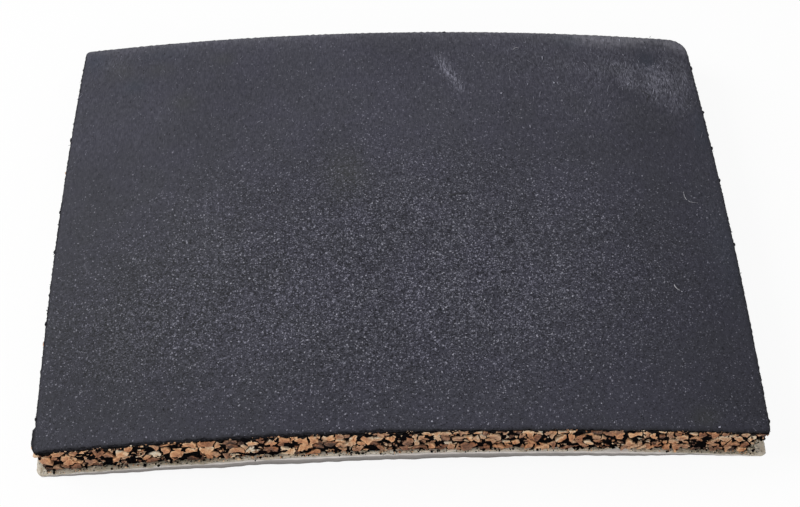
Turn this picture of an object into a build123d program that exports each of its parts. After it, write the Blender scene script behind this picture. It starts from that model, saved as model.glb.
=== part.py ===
from build123d import *
import math
import os
import random

# A flexible sanding pad. Coated abrasive cloth is bonded to a core of granulated cork in rubber,
# and a double-sided tape under the core still carries its release liner.
#
# X runs left to right, Y from the raw front cut to the back, and Z up from the table.
# The laminate was made flat and has taken a bow, so every layer is a slice of one arch
# whose axis lies along Y below the table. The pad stands on its left and right edges.

# Driving dimensions, mm
PAD_WIDTH = 127.0
PAD_DEPTH = 95.25
SIDE_BOW = 1.0  # each side swells this much half way back
ARCH_RISE = 4.16  # middle of the underside above its two ends, over the pad's width
LEDGE = 0.75  # tape and liner stand out this far beyond the core
REST_FLAT = 0.12  # depth of the two narrow flats on which the liner's edges rest

# Layers from the table up, mm
LINER_THICKNESS = 0.25
PEEL_GAP = 0.05
LOWER_ADHESIVE_THICKNESS = 0.10
CARRIER_THICKNESS = 0.15
UPPER_ADHESIVE_THICKNESS = 0.10
CORE_THICKNESS = 6.35
LAMINATING_FILM_THICKNESS = 0.10
CLOTH_THICKNESS = 0.45
GRIT_THICKNESS = 0.30

# Corners of the die-cut outline, seen from above, mm
BACK_LEFT_RADIUS = 2.0
BACK_RIGHT_RADIUS = 4.6
FRONT_RADIUS = 0.4

# Where the front-left corner was squeezed out as the front was cut, mm
BULGE_LENGTH = 5.5
BULGE_WIDTH = 0.6

# Lower corners of the core that crumbled at the front cut, mm
WORN_WIDTH = 1.3
WORN_HEIGHT = 3.6
WORN_LENGTH = 9.0

# Cork chips that the cuts laid open, mm unless noted. The chips lie flat in rows, as sheet
# pressed from granules has them, with a web of rubber round each one.
CHIP_ROWS = 3
CHIP_SHORTEST = 2.6
CHIP_LONGEST = 4.8
CHIP_DEPTH = 1.1  # how far a chip reaches into the rubber
CHIP_PROUD = 0.12  # how far it stands out of the cut
CHIP_SLANT = 0.55  # most that the web between two chips leans, either way
RUBBER_WEB = 0.29  # least thickness of rubber from a chip's corner to its cell's corner
CHIP_LOSS = 0.33  # most that a chip's corner falls short beyond that web
ROW_WAVE = 0.2  # height of the waves in the rubber between rows
ROW_WAVE_LENGTH = 9.0
BARE_SHARE = 0.12  # share of the cells that show rubber alone
FIVE_SIDED_SHARE = 0.5  # share of the chips that have lost a corner
SHARPEST_TURN = 35.0  # degrees that the outline may turn under one chip
LEAST_SEATED = 0.6  # share of a chip that has to lie inside the core
CHIP_SEED = 11

# Derived places
HALF_WIDTH = PAD_WIDTH / 2
HALF_DEPTH = PAD_DEPTH / 2
UNDER_RADIUS = HALF_WIDTH**2 / (2 * ARCH_RISE) + ARCH_RISE / 2
REACH = HALF_WIDTH + SIDE_BOW + LEDGE  # furthest point of the liner from the middle
DROP_AT_REACH = UNDER_RADIUS - math.sqrt(UNDER_RADIUS**2 - REACH**2)
CROWN = DROP_AT_REACH - REST_FLAT  # height of the underside at the middle of the pad
ARCH_AXIS_Z = CROWN - UNDER_RADIUS
MARGIN = 5.0  # how far cutting shapes run past the pad

# Heights of the layer boundaries above the underside, square to the arch
TAPE_BOTTOM = LINER_THICKNESS + PEEL_GAP
CARRIER_BOTTOM = TAPE_BOTTOM + LOWER_ADHESIVE_THICKNESS
CARRIER_TOP = CARRIER_BOTTOM + CARRIER_THICKNESS
CORE_BOTTOM = CARRIER_TOP + UPPER_ADHESIVE_THICKNESS
CORE_TOP = CORE_BOTTOM + CORE_THICKNESS
CLOTH_BOTTOM = CORE_TOP + LAMINATING_FILM_THICKNESS
CLOTH_TOP = CLOTH_BOTTOM + CLOTH_THICKNESS
PAD_TOP = CLOTH_TOP + GRIT_THICKNESS


def arch_height(x, level):
    """Height above the table, at x, of the arch that lies one level above the underside."""
    return ARCH_AXIS_Z + math.sqrt((UNDER_RADIUS + level) ** 2 - x**2)


def arch_slice(low, high):
    """The whole arch between two levels above the underside, longer and wider than the pad."""
    inner = UNDER_RADIUS + low
    outer = UNDER_RADIUS + high
    half_angle = math.degrees(math.asin((REACH + MARGIN) / inner))
    upper = CenterArc((0, ARCH_AXIS_Z), outer, 90 - half_angle, 2 * half_angle)
    lower = CenterArc((0, ARCH_AXIS_Z), inner, 90 - half_angle, 2 * half_angle)
    right_end = Line(lower @ 0, upper @ 0)
    left_end = Line(upper @ 1, lower @ 1)
    profile = Plane.XZ * make_face([upper, left_end, lower, right_end])
    return extrude(profile, HALF_DEPTH + MARGIN, both=True)


def outline(growth):
    """The die-cut outline seen from above, grown on every side: straight front and back, bowed sides."""
    x = HALF_WIDTH + growth
    y = HALF_DEPTH + growth
    front = Line((-x, -y), (x, -y))
    right = ThreePointArc((x, -y), (x + SIDE_BOW, 0), (x, y))
    back = Line((x, y), (-x, y))
    left = ThreePointArc((-x, y), (-x - SIDE_BOW, 0), (-x, -y))
    shape = make_face([front, right, back, left])
    rounding = {
        (-1, -1): FRONT_RADIUS + growth,
        (1, -1): FRONT_RADIUS + growth,
        (-1, 1): BACK_LEFT_RADIUS + growth,
        (1, 1): BACK_RIGHT_RADIUS + growth,
    }
    for (side, end), radius in rounding.items():
        corner = shape.vertices().sort_by_distance((side * x, end * y))[0]
        shape = fillet(corner, radius)
    return shape


def front_left_bulge():
    """The lens of core and cloth that was pushed out sideways beside the front-left corner."""
    start = (-HALF_WIDTH, -HALF_DEPTH + BULGE_LENGTH)
    crest = (-HALF_WIDTH - BULGE_WIDTH, -HALF_DEPTH + BULGE_LENGTH * 0.4)
    end = (-HALF_WIDTH, -HALF_DEPTH + FRONT_RADIUS / 2)
    inside = (-HALF_WIDTH + MARGIN, -HALF_DEPTH + BULGE_LENGTH / 2)
    return make_face([ThreePointArc(start, crest, end), Line(end, inside), Line(inside, start)])


def layer(low, high, shape):
    """One layer of the laminate: a slice of the arch trimmed to a plan outline."""
    height = CROWN + PAD_TOP + MARGIN
    return arch_slice(low, high) & extrude(Pos(0, 0, -MARGIN) * shape, height + MARGIN)


def worn_section(side, width, y):
    """A section across the core's lower edge at one distance back, as wide as the core has lost there."""
    low = arch_height(HALF_WIDTH, CORE_BOTTOM)
    slope = WORN_HEIGHT / WORN_WIDTH
    inner = (side * (HALF_WIDTH - width), low - MARGIN)
    outer = (side * (HALF_WIDTH + MARGIN), low - MARGIN)
    upper = (side * (HALF_WIDTH + MARGIN), low + WORN_HEIGHT + MARGIN * slope)
    foot = (side * (HALF_WIDTH - width), low + WORN_HEIGHT - width * slope)
    return Plane.XZ.offset(-y) * make_face(Polyline(inner, outer, upper, foot, close=True))


def worn_corner(side):
    """The wedge that crumbled off the core at one front corner, widest at the cut and gone further back."""
    at_cut = worn_section(side, WORN_WIDTH, -HALF_DEPTH - FRONT_RADIUS)
    gone = worn_section(side, -SIDE_BOW / 2, WORN_LENGTH - HALF_DEPTH)
    return loft([at_cut, gone], ruled=True)


def row_height(row, along):
    """Height above the core's underside of the rubber under a row: level at both faces, wavy between."""
    level = RUBBER_WEB + (CORE_THICKNESS - 2 * RUBBER_WEB) * row / CHIP_ROWS
    if row in (0, CHIP_ROWS):
        return level
    return level + ROW_WAVE * math.sin(2 * math.pi * along / ROW_WAVE_LENGTH + 2.4 * row)


def chip_cells(length, rng):
    """The cells of one chip each that fill the cut, as their middle and four corners.

    A corner is its distance along the outline and its height in the core. Neighbours in a row
    share a leaning side, and rows share their wavy boundary, so that no two cells overlap.
    """
    for row in range(CHIP_ROWS):
        start = rng.uniform(0, CHIP_LONGEST)
        lean = 0.0
        while start + CHIP_LONGEST < length:
            end = start + rng.uniform(CHIP_SHORTEST, CHIP_LONGEST)
            next_lean = rng.uniform(-CHIP_SLANT, CHIP_SLANT)
            bottom = [start - lean, end - next_lean]
            top = [end + next_lean, start + lean]
            corners = [(s, row_height(row, s)) for s in bottom]
            corners += [(s, row_height(row + 1, s)) for s in top]
            if rng.random() > BARE_SHARE:
                yield (start + end) / 2, corners
            start, lean = end, next_lean


def between(first, second, share):
    """The point that lies a share of the way from one point to another."""
    return tuple(a + (b - a) * share for a, b in zip(first, second))


def chip_outline(corners, rng):
    """A chip's cut face: its cell drawn in unevenly by the rubber, half of them with a corner gone."""
    middle = between(between(*corners[0::2], 0.5), between(*corners[1::2], 0.5), 0.5)
    drawn_in = []
    for corner in corners:
        pull = RUBBER_WEB + rng.uniform(0, CHIP_LOSS)
        drawn_in.append(between(corner, middle, pull / math.dist(corner, middle)))
    if rng.random() > FIVE_SIDED_SHARE:
        return drawn_in
    lost = rng.randrange(len(drawn_in))
    share = rng.uniform(0.25, 0.45)
    before = between(drawn_in[lost], drawn_in[lost - 1], share)
    after = between(drawn_in[lost], drawn_in[(lost + 1) % len(drawn_in)], share)
    return drawn_in[:lost] + [before, after] + drawn_in[lost + 1 :]


def cork_chip(edge, middle, shape):
    """A prism on a chip's cut face, square to the edge, reaching into the rubber and a little out of it."""
    foot = edge.position_at(middle / edge.length)
    heading = edge.tangent_at(middle / edge.length)
    outward = Vector(heading.Y, -heading.X, 0)
    height = sum(point[1] for point in shape) / len(shape)
    z = arch_height(foot.X, CORE_BOTTOM + height)
    up = Vector(foot.X, 0, z - ARCH_AXIS_Z).normalized()
    along = up.cross(outward)
    seat = Plane(Vector(foot.X, foot.Y, z) - outward * CHIP_DEPTH, x_dir=along, z_dir=outward)
    flat = [(s - middle, h - height) for s, h in shape]
    return extrude(seat * make_face(Polyline(*flat, close=True)), CHIP_DEPTH + CHIP_PROUD)


def cork_chips(edge, core):
    """Every chip along the outline that is seated in the core and doesn't straddle a sharp corner."""
    rng = random.Random(CHIP_SEED)
    chips = []
    for middle, corners in chip_cells(edge.length, rng):
        shape = chip_outline(corners, rng)
        ends = [edge.tangent_at(s / edge.length) for s in (corners[0][0], corners[2][0])]
        if ends[0].get_angle(ends[1]) > SHARPEST_TURN:
            continue
        chip = cork_chip(edge, middle, shape)
        if (chip & core).volume > LEAST_SEATED * chip.volume:
            chips.append(chip.solid())
    return chips


def build_parts():
    """Every piece by name, from the liner up."""
    pad_shape = outline(0) + front_left_bulge()
    tape_shape = outline(LEDGE)
    below_table = Pos(0, 0, -MARGIN / 2) * Box(4 * REACH, 4 * REACH, MARGIN)
    core = layer(CORE_BOTTOM, CORE_TOP, pad_shape) - worn_corner(-1) - worn_corner(1)
    chips = cork_chips(pad_shape.face().outer_wire(), core)
    print(len(chips), "cork chips")
    return {
        "release_liner": layer(0, LINER_THICKNESS, tape_shape) - below_table,
        "tape_lower_adhesive": layer(TAPE_BOTTOM, CARRIER_BOTTOM, tape_shape),
        "tape_carrier": layer(CARRIER_BOTTOM, CARRIER_TOP, tape_shape),
        "tape_upper_adhesive": layer(CARRIER_TOP, CORE_BOTTOM, tape_shape),
        "cork_rubber_core": core.solid().cut(*chips),
        "cork_granules": Compound(chips),
        "laminating_film": layer(CORE_TOP, CLOTH_BOTTOM, pad_shape),
        "backing_cloth": layer(CLOTH_BOTTOM, CLOTH_TOP, pad_shape),
        "abrasive_grit": layer(CLOTH_TOP, PAD_TOP, pad_shape),
    }


os.makedirs("parts", exist_ok=True)
for name, piece in build_parts().items():
    export_step(piece, f"parts/{name}.step")
    print(name, round(piece.volume, 1), "mm3")
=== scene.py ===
# %% [markdown]
# # A flexible sanding pad
#
# The object is a thin laminate, about 127 by 95 mm and 8 mm thick: abrasive cloth on top, a core of
# granulated cork in black rubber, and a sticky tape under it that still wears its release liner.
# It has bowed up in the middle, so it stands on its left and right edges.
#
# The imported model is loaded first. Its meshes are taken off their parents and kept where they
# were, and every piece made below hangs on an empty for its body and stands for one of its solids
# or lies on one.

# %% Load the imported model
import math

import bpy
import numpy as np
from mathutils import Matrix, Vector


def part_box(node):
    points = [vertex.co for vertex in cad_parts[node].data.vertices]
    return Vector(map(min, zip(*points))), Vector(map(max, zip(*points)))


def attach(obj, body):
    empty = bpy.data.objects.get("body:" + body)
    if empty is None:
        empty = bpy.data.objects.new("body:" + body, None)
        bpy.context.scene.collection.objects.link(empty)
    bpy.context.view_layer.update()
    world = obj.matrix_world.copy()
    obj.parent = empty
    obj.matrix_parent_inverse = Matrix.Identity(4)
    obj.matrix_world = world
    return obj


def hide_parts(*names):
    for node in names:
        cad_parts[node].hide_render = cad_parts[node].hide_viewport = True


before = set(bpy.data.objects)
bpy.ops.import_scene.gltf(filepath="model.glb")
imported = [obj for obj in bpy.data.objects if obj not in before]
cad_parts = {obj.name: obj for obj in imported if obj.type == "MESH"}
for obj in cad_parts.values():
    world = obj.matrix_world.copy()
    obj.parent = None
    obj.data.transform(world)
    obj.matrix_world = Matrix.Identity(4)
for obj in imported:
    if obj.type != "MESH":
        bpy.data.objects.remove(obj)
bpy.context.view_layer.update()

# %% [markdown]
# ## The camera
#
# The photograph looks down on the pad from its raw front cut. The camera's place and its field of
# view come from the outline's perspective: the two long edges, the two bowed sides and the known
# proportions of the pad fix all of them. Blender's camera looks along its own -Z with +Y up, so
# the three directions are worked out as vectors and put into the columns of its matrix.

# %% Camera
MM = 0.001
CAMERA_PLACE = (-7.5, -165.3, 220.4)  # mm
PITCH = math.radians(53.3)  # below the horizon
AZIMUTH = math.radians(3.0)  # to the right of straight ahead
ROLL = math.radians(1.04)
LENS = 63.0  # mm, on a sensor 36 mm wide
SHIFT = (-0.00081, -0.00075)  # the photograph was cropped a hair off its middle, in widths of it

forward = Vector(
    (math.sin(AZIMUTH) * math.cos(PITCH), math.cos(AZIMUTH) * math.cos(PITCH), -math.sin(PITCH))
)
level_right = Vector((math.cos(AZIMUTH), -math.sin(AZIMUTH), 0.0))
level_up = level_right.cross(forward)
right = level_right * math.cos(ROLL) + level_up * math.sin(ROLL)
up = level_up * math.cos(ROLL) - level_right * math.sin(ROLL)

camera_data = bpy.data.cameras.new("photograph_camera")
camera_data.lens = LENS
camera_data.sensor_width = 36.0
camera_data.shift_x, camera_data.shift_y = SHIFT
camera_data.clip_start = 0.01
camera = bpy.data.objects.new("photograph_camera", camera_data)
bpy.context.scene.collection.objects.link(camera)
camera.matrix_world = Matrix.Translation([c * MM for c in CAMERA_PLACE]) @ Matrix(
    (right, up, -forward)
).transposed().to_4x4()
bpy.context.scene.camera = camera
print("camera at", [round(c, 4) for c in camera.matrix_world.translation])

# %% [markdown]
# ## Nodes in few words
#
# Every finish below is a small graph of shader nodes. Building one by hand takes three lines a
# node, so add_node adds a node, sets its options and fills its sockets in one call. A socket
# of another node is linked, and anything else is written on the socket as a fixed value.

# %% Helpers for shader nodes
SOCKET = bpy.types.NodeSocket


def fill(node, sockets):
    """Fills a node's inputs, which sockets names or numbers, with fixed values and links."""
    for key, value in sockets.items():
        socket = node.inputs[key]
        if isinstance(value, SOCKET):
            node.id_data.links.new(value, socket)
        else:
            socket.default_value = value


def add_node(tree, kind, options=None, sockets=None):
    """Adds one node, with options for its settings and sockets for its inputs."""
    made = tree.nodes.new(kind)
    for key, value in (options or {}).items():
        setattr(made, key, value)
    fill(made, sockets or {})
    return made


def maths(tree, operation, *values, clamp=False):
    """The result of one Math node."""
    sockets = dict(enumerate(values))
    options = {"operation": operation, "use_clamp": clamp}
    return add_node(tree, "ShaderNodeMath", options, sockets).outputs[0]


def remap(tree, value, low, high, out_low=0.0, out_high=1.0):
    """The value moved from low..high to out_low..out_high along an S, and held at the ends."""
    sockets = {0: value, 1: low, 2: high, 3: out_low, 4: out_high}
    options = {"interpolation_type": "SMOOTHSTEP"}
    return add_node(tree, "ShaderNodeMapRange", options, sockets).outputs[0]


def mix(tree, share, first, second, blend="MIX"):
    """Two colours mixed; share is how much of the second shows."""
    options = {"data_type": "RGBA", "blend_type": blend}
    made = add_node(tree, "ShaderNodeMix", options, {0: share, 6: first, 7: second})
    return made.outputs[2]


def ramp(tree, share, stops):
    """A colour ramp through (place, colour) stops."""
    made = add_node(tree, "ShaderNodeValToRGB", None, {"Fac": share})
    elements = made.color_ramp.elements
    while len(elements) < len(stops):
        elements.new(0.5)
    for element, (place, colour) in zip(elements, stops):
        element.position = place
        element.color = (*colour, 1.0)
    return made.outputs["Color"]


def place_of(tree, stretch=(1.0, 1.0, 1.0)):
    """The point's place on the object in metres, each axis stretched by a factor."""
    where = add_node(tree, "ShaderNodeTexCoord").outputs["Object"]
    return add_node(tree, "ShaderNodeMapping", None, {"Vector": where, "Scale": stretch}).outputs[0]


def noise(tree, where, size, detail=2.0, roughness=0.5):
    """Cloudy noise from 0 to 1 whose blobs are about size mm across."""
    sockets = {"Vector": where, "Scale": 1000.0 / size, "Detail": detail, "Roughness": roughness}
    return add_node(tree, "ShaderNodeTexNoise", None, sockets).outputs["Fac"]


def cells(tree, where, size):
    """A Voronoi texture with one cell to each grain of about size mm."""
    sockets = {"Vector": where, "Scale": 1000.0 / size}
    return add_node(tree, "ShaderNodeTexVoronoi", None, sockets)


def attribute(tree, name):
    """A number that was stored on the mesh's points."""
    return add_node(tree, "ShaderNodeAttribute", {"attribute_name": name}).outputs["Fac"]


def grey(tree, value):
    """A number as a grey colour."""
    return add_node(tree, "ShaderNodeCombineColor", None, {0: value, 1: value, 2: value}).outputs[0]


def bump(tree, height, depth):
    """A surface normal tilted as if height, from 0 to 1, stood depth mm high."""
    sockets = {"Height": height, "Distance": depth * MM}
    return add_node(tree, "ShaderNodeBump", None, sockets).outputs["Normal"]


def finish_of(name):
    """A new material with one Principled surface: the material, its tree and that surface."""
    material = bpy.data.materials.new(name)
    material.use_nodes = True
    return material, material.node_tree, material.node_tree.nodes["Principled BSDF"]


# %% [markdown]
# ## Floor, world and lamps
#
# The photograph is cut out on white, so the floor is white and keeps only the pad's soft shadow.
# Seen directly or in a reflection, most of the floor's colour is an even white of strength 1 and
# the rest is an ordinary white surface, which is where the shadow shows. The world does the
# same: white to the camera, and a plain grey sky to everything that it lights.
#
# The right side of the abrasive is darker than the left. The pad is an arch, so its two ends lean
# 15 degrees away from each other, and a large lamp on the left gives most of that difference. The
# rest is painted shade on the face's right end.

# %% Floor and world
def direct_view(tree):
    """1 where the camera, a mirror or glass looks at the surface, 0 for light that falls on it."""
    path = add_node(tree, "ShaderNodeLightPath").outputs
    seen = maths(tree, "MAXIMUM", path["Is Camera Ray"], path["Is Glossy Ray"])
    return maths(tree, "MAXIMUM", seen, path["Is Transmission Ray"])


FLOOR_HALF = 2.0  # m
FLOOR_GLOW = 0.92  # share of the floor's look that no shadow reaches
FLOOR_GREY = 0.86  # how white the rest of it is
SKY = 0.46  # strength of the world as a light

floor_mesh = bpy.data.meshes.new("floor")
floor_mesh.from_pydata(
    [(x * FLOOR_HALF, y * FLOOR_HALF, 0.0) for x, y in ((-1, -1), (1, -1), (1, 1), (-1, 1))],
    [],
    [(0, 1, 2, 3)],
)
floor = bpy.data.objects.new("floor", floor_mesh)
bpy.context.scene.collection.objects.link(floor)

floor_finish, tree, surface = finish_of("white_floor")
floor_colour = (FLOOR_GREY, FLOOR_GREY, FLOOR_GREY, 1)
fill(surface, {"Base Color": floor_colour, "Roughness": 1.0, "Specular IOR Level": 0.0})
glow = add_node(tree, "ShaderNodeEmission", None, {"Color": (1, 1, 1, 1), "Strength": 1.0})
share = maths(tree, "MULTIPLY", direct_view(tree), FLOOR_GLOW)
blend = add_node(
    tree, "ShaderNodeMixShader", None, {0: share, 1: surface.outputs[0], 2: glow.outputs[0]}
)
fill(tree.nodes["Material Output"], {"Surface": blend.outputs[0]})
floor_mesh.materials.append(floor_finish)

world = bpy.data.worlds.new("white_room")
world.use_nodes = True
bpy.context.scene.world = world
tree = world.node_tree
strength = add_node(
    tree, "ShaderNodeMapRange", None, {0: direct_view(tree), 3: SKY, 4: 1.0}
).outputs[0]
fill(tree.nodes["Background"], {"Color": (1, 1, 1, 1), "Strength": strength})
print("floor and world ready")

# %% Lamps
LAMPS = {
    # name: (place in m, width in m, power in W)
    "window_left": ((-0.82, 0.16, 0.52), 0.60, 8.6),
    "front_fill": ((0.00, -0.80, 0.62), 0.60, 2.3),
}
for name, (place, width, power) in LAMPS.items():
    lamp_data = bpy.data.lights.new(name, "AREA")
    lamp_data.size = width
    lamp_data.energy = power
    lamp = bpy.data.objects.new(name, lamp_data)
    bpy.context.scene.collection.objects.link(lamp)
    lamp.location = place
    lamp.rotation_euler = (-Vector(place)).to_track_quat("-Z", "Y").to_euler()
bpy.context.scene.view_settings.view_transform = "Standard"
print("lamps:", sorted(LAMPS))

# %% [markdown]
# ## The pad's measures
#
# These repeat the values that the solids were drawn from, in millimetres. All work on shapes is
# done in millimetres, and only the finished mesh is turned into metres.
#
# The laminate was made flat and has taken a bow. A point of it is then known by three numbers: its
# x, its y and its level, which is how far it lies above the laminate's underside, square to the
# bow. The corner radii are the photograph's, which at the back are smaller than the solids'.

# %% Measures and the bow
PAD_WIDTH = 127.0
PAD_DEPTH = 95.25
SIDE_BOW = 1.0  # each side swells this much half way back
LEDGE = 0.75  # tape and liner stand out this far beyond the core
ARCH_RISE = 4.16
REST_FLAT = 0.12  # how much of the two lowest edges the table takes off
HALF_WIDTH = PAD_WIDTH / 2
HALF_DEPTH = PAD_DEPTH / 2
ARCH_RADIUS = HALF_WIDTH**2 / (2 * ARCH_RISE) + ARCH_RISE / 2
REACH = HALF_WIDTH + SIDE_BOW + LEDGE
CROWN = ARCH_RADIUS - math.sqrt(ARCH_RADIUS**2 - REACH**2) - REST_FLAT
AXIS_HEIGHT = CROWN - ARCH_RADIUS

# levels of the layers above the underside
LINER_TOP = 0.25
TAPE_BOTTOM = 0.30
CARRIER_BOTTOM = 0.40
CARRIER_TOP = 0.55
CORE_BOTTOM = 0.65
CORE_TOP = 7.00
CLOTH_BOTTOM = 7.10
CLOTH_TOP = 7.55
PAD_TOP = 7.85

CORNER_RADIUS = {(-1, -1): 0.4, (1, -1): 0.4, (-1, 1): 0.9, (1, 1): 4.0}  # by (side, end)
BULGE_LENGTH = 4.9  # of the place at the front of the left side that the cut squeezed outwards
BULGE_WIDTH = 0.45
BULGE_ENDS = (1.6, 0.8)  # over these lengths it swells at its front and at its back end


def smooth(t):
    """An S from 0 to 1 as t goes from 0 to 1, held beyond: three t squared less two t cubed."""
    t = np.clip(t, 0, 1)
    return t * t * (3 - 2 * t)


def on_arch(x, level):
    """Height above the table of points at x on the layer at that level.

    The root of (arch radius + level) squared less x squared, counted from the arch's axis.
    """
    return AXIS_HEIGHT + np.sqrt((ARCH_RADIUS + level) ** 2 - x**2)


low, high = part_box("abrasive_grit")
print("abrasive in the frame, mm:", [round((h - l) / MM, 2) for l, h in zip(low, high)])
print("top of the crown by the formula:", round(float(on_arch(0.0, PAD_TOP)), 2), "mm")

# %% [markdown]
# ## The outline
#
# The pad was stamped with a steel rule that has straight long edges, bowed short ones and rounded
# back corners. The front was cut again by hand and has sharp corners. Each side is three arcs
# joined end to end, and their meeting points follow from the circles touching each other.
# All layers share this outline, grown or shrunk a little.

# %% Outline of the pad
ACROSS = 340  # steps along the front and the back
ALONG = 256  # steps up each side
ARC_POINTS = 80  # on each arc, before they are spaced evenly


def side_curve(side, growth):
    """One side from front to back, as evenly spaced points: corner arc, bowed arc, corner arc.

    The bowed arc passes through both ends of the side and stands SIDE_BOW proud half way. A
    corner's centre is one corner radius inside the straight edge and inside the big circle.
    """
    half_x, half_y = HALF_WIDTH + growth, HALF_DEPTH + growth
    big = (half_y**2 + SIDE_BOW**2) / (2 * SIDE_BOW)
    big_x = half_x + SIDE_BOW - big
    arcs, touches = [], []
    for end in (-1, 1):
        radius = CORNER_RADIUS[side, end] + growth
        y = end * (half_y - radius)
        x = big_x + math.sqrt((big - radius) ** 2 - y**2)
        touches.append(math.atan2(y, x - big_x))
        arcs.append((x, y, radius, *sorted((end * math.pi / 2, touches[-1]))))
    arcs.insert(1, (big_x, 0.0, big, *touches))
    path = []
    for x, y, radius, start, stop in arcs:
        turn = np.linspace(start, stop, ARC_POINTS)
        path.append(np.stack([x + radius * np.cos(turn), y + radius * np.sin(turn)], 1))
    path = np.concatenate(path)
    run = np.append(0, np.cumsum(np.hypot(*np.diff(path, axis=0).T)))
    even = np.linspace(0, run[-1], ALONG + 1)
    x, y = (np.interp(even, run, path[:, k]) for k in (0, 1))
    return np.stack([side * x, y], 1)


def outline(growth, bulge=0.0):
    """Front, right, back and left edges of the grown outline, each from the front or the left.

    The bulge pushes the left edge out beside the front corner, by an S up and an S down again.
    """
    left, right = side_curve(-1, growth), side_curve(1, growth)
    run = left[:, 1] + HALF_DEPTH
    left[:, 0] -= bulge * smooth(run / BULGE_ENDS[0]) * smooth((BULGE_LENGTH - run) / BULGE_ENDS[1])
    step = np.linspace(0, 1, ACROSS + 1)[:, None]
    front = left[0] + (right[0] - left[0]) * step
    back = left[-1] + (right[-1] - left[-1]) * step
    return front, right, back, left


def as_loop(edges):
    """The four edges as one closed loop, anticlockwise from the front-left corner."""
    front, right, back, left = edges
    return np.concatenate([front[:-1], right[:-1], back[:0:-1], left[:0:-1]])


def outward(loop):
    """Unit vectors square to a loop, pointing out of it.

    Each is the run from the point before to the point after, turned to the right.
    """
    run = np.roll(loop, -1, 0) - np.roll(loop, 1, 0)
    run /= np.hypot(*run.T)[:, None]
    return np.stack([run[:, 1], -run[:, 0]], 1)


core_loop = as_loop(outline(0.0, bulge=BULGE_WIDTH))
core_out = outward(core_loop)
print("points round the core:", len(core_loop))

# %% [markdown]
# ## From arrays to meshes
#
# A layer is a stack of closed rings. Quads join each ring to the next, and a cap closes each end:
# long strips from the front edge to the back edge, which lie in the bow, and one sliver along
# each side.
#
# Real cut edges wander. A sum of plane waves in random directions gives a smooth random field
# that has no seam where a loop closes, because it is worked out from the points' places.

# %% Rings, caps, rough fields and meshes
WAVES = 40  # in each rough field


def ring_faces(upper, lower):
    """Quads between two closed rings of point numbers, facing outwards."""
    return np.stack([upper, lower, np.roll(lower, -1), np.roll(upper, -1)], 1)


def cap_faces(ring, upwards):
    """Closes a ring with strips from front to back and one thin face along each side."""
    back_right = ACROSS + ALONG
    back_left = back_right + ACROSS
    front, back = ring[: ACROSS + 1], ring[back_right : back_left + 1][::-1]
    strips = np.stack([front[:-1], front[1:], back[1:], back[:-1]], 1)
    right_sliver = ring[ACROSS : back_right + 1][None]
    left_sliver = np.append(ring[back_left:], ring[0])[None]
    faces = [strips, right_sliver, left_sliver]
    return faces if upwards else [face[:, ::-1] for face in faces]


def ripples(points, size, seed):
    """A smooth random field of unit spread with features about size mm across.

    The sum of cosines of plane waves whose directions, lengths and phases are drawn at random.
    """
    rng = np.random.default_rng(seed)
    heading = rng.normal(size=(WAVES, points.shape[-1]))
    heading /= np.linalg.norm(heading, axis=1, keepdims=True)
    length = size * rng.uniform(0.7, 1.5, WAVES)
    phase = rng.uniform(0, 2 * np.pi, WAVES)
    turns = points @ (heading * (2 * np.pi / length)[:, None]).T + phase
    return np.cos(turns).sum(-1) * math.sqrt(2 / WAVES)


def make_piece(name, points, faces, finish, body, slot, node=None, rounded=True, numbers=None):
    """Turns points in mm and lists of equal-sided faces into a piece that rides on a body.

    Faces come as arrays with one row of point numbers to a face. A rounded piece has no visible
    facets. numbers are values stored on the points for the finish to read.
    """
    mesh = bpy.data.meshes.new(name)
    mesh.vertices.add(len(points))
    mesh.vertices.foreach_set("co", (points * MM).astype(np.float32).ravel())
    corners = np.concatenate([rows.ravel() for rows in faces]).astype(np.int32)
    sides = np.concatenate([np.full(len(rows), rows.shape[1]) for rows in faces])
    mesh.loops.add(len(corners))
    mesh.loops.foreach_set("vertex_index", corners)
    mesh.polygons.add(len(sides))
    mesh.polygons.foreach_set("loop_start", (np.cumsum(sides) - sides).astype(np.int32))
    mesh.polygons.foreach_set("use_smooth", np.full(len(sides), rounded))
    for key, values in (numbers or {}).items():
        stored = mesh.attributes.new(key, "FLOAT", "POINT")
        stored.data.foreach_set("value", values.astype(np.float32))
    mesh.update(calc_edges=True)
    mesh.materials.append(finish)
    piece = bpy.data.objects.new(name, mesh)
    bpy.context.scene.collection.objects.link(piece)
    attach(piece, body)
    if node:
        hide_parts(node)
    print(name, "has", int((sides - 2).sum()), "triangles")


def ring_points(loop, out, offset, level):
    """Rings round a loop: offset and level are rows of numbers, one row to a ring.

    A point is the loop's point moved along its outward vector by the offset, at its level.
    """
    flat = loop + out * offset[..., None]
    return np.concatenate([flat, on_arch(flat[..., 0], level)[..., None]], -1)


def ring_slab(name, rings, **keys):
    """A closed layer from its rings, top ring first, as an array of rings x points x 3."""
    count = rings.shape[1]
    numbered = np.arange(rings.shape[0] * count).reshape(rings.shape[:2])
    faces = [ring_faces(a, b) for a, b in zip(numbered[:-1], numbered[1:])]
    faces += cap_faces(numbered[0], True) + cap_faces(numbered[-1], False)
    make_piece(name, rings.reshape(-1, 3), faces, **keys)


def rows(*values):
    """Rings' offsets or levels as full rows, from plain numbers and from arrays."""
    return np.stack([np.broadcast_to(np.asarray(value, float), len(core_loop)) for value in values])


print("helpers ready")
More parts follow.
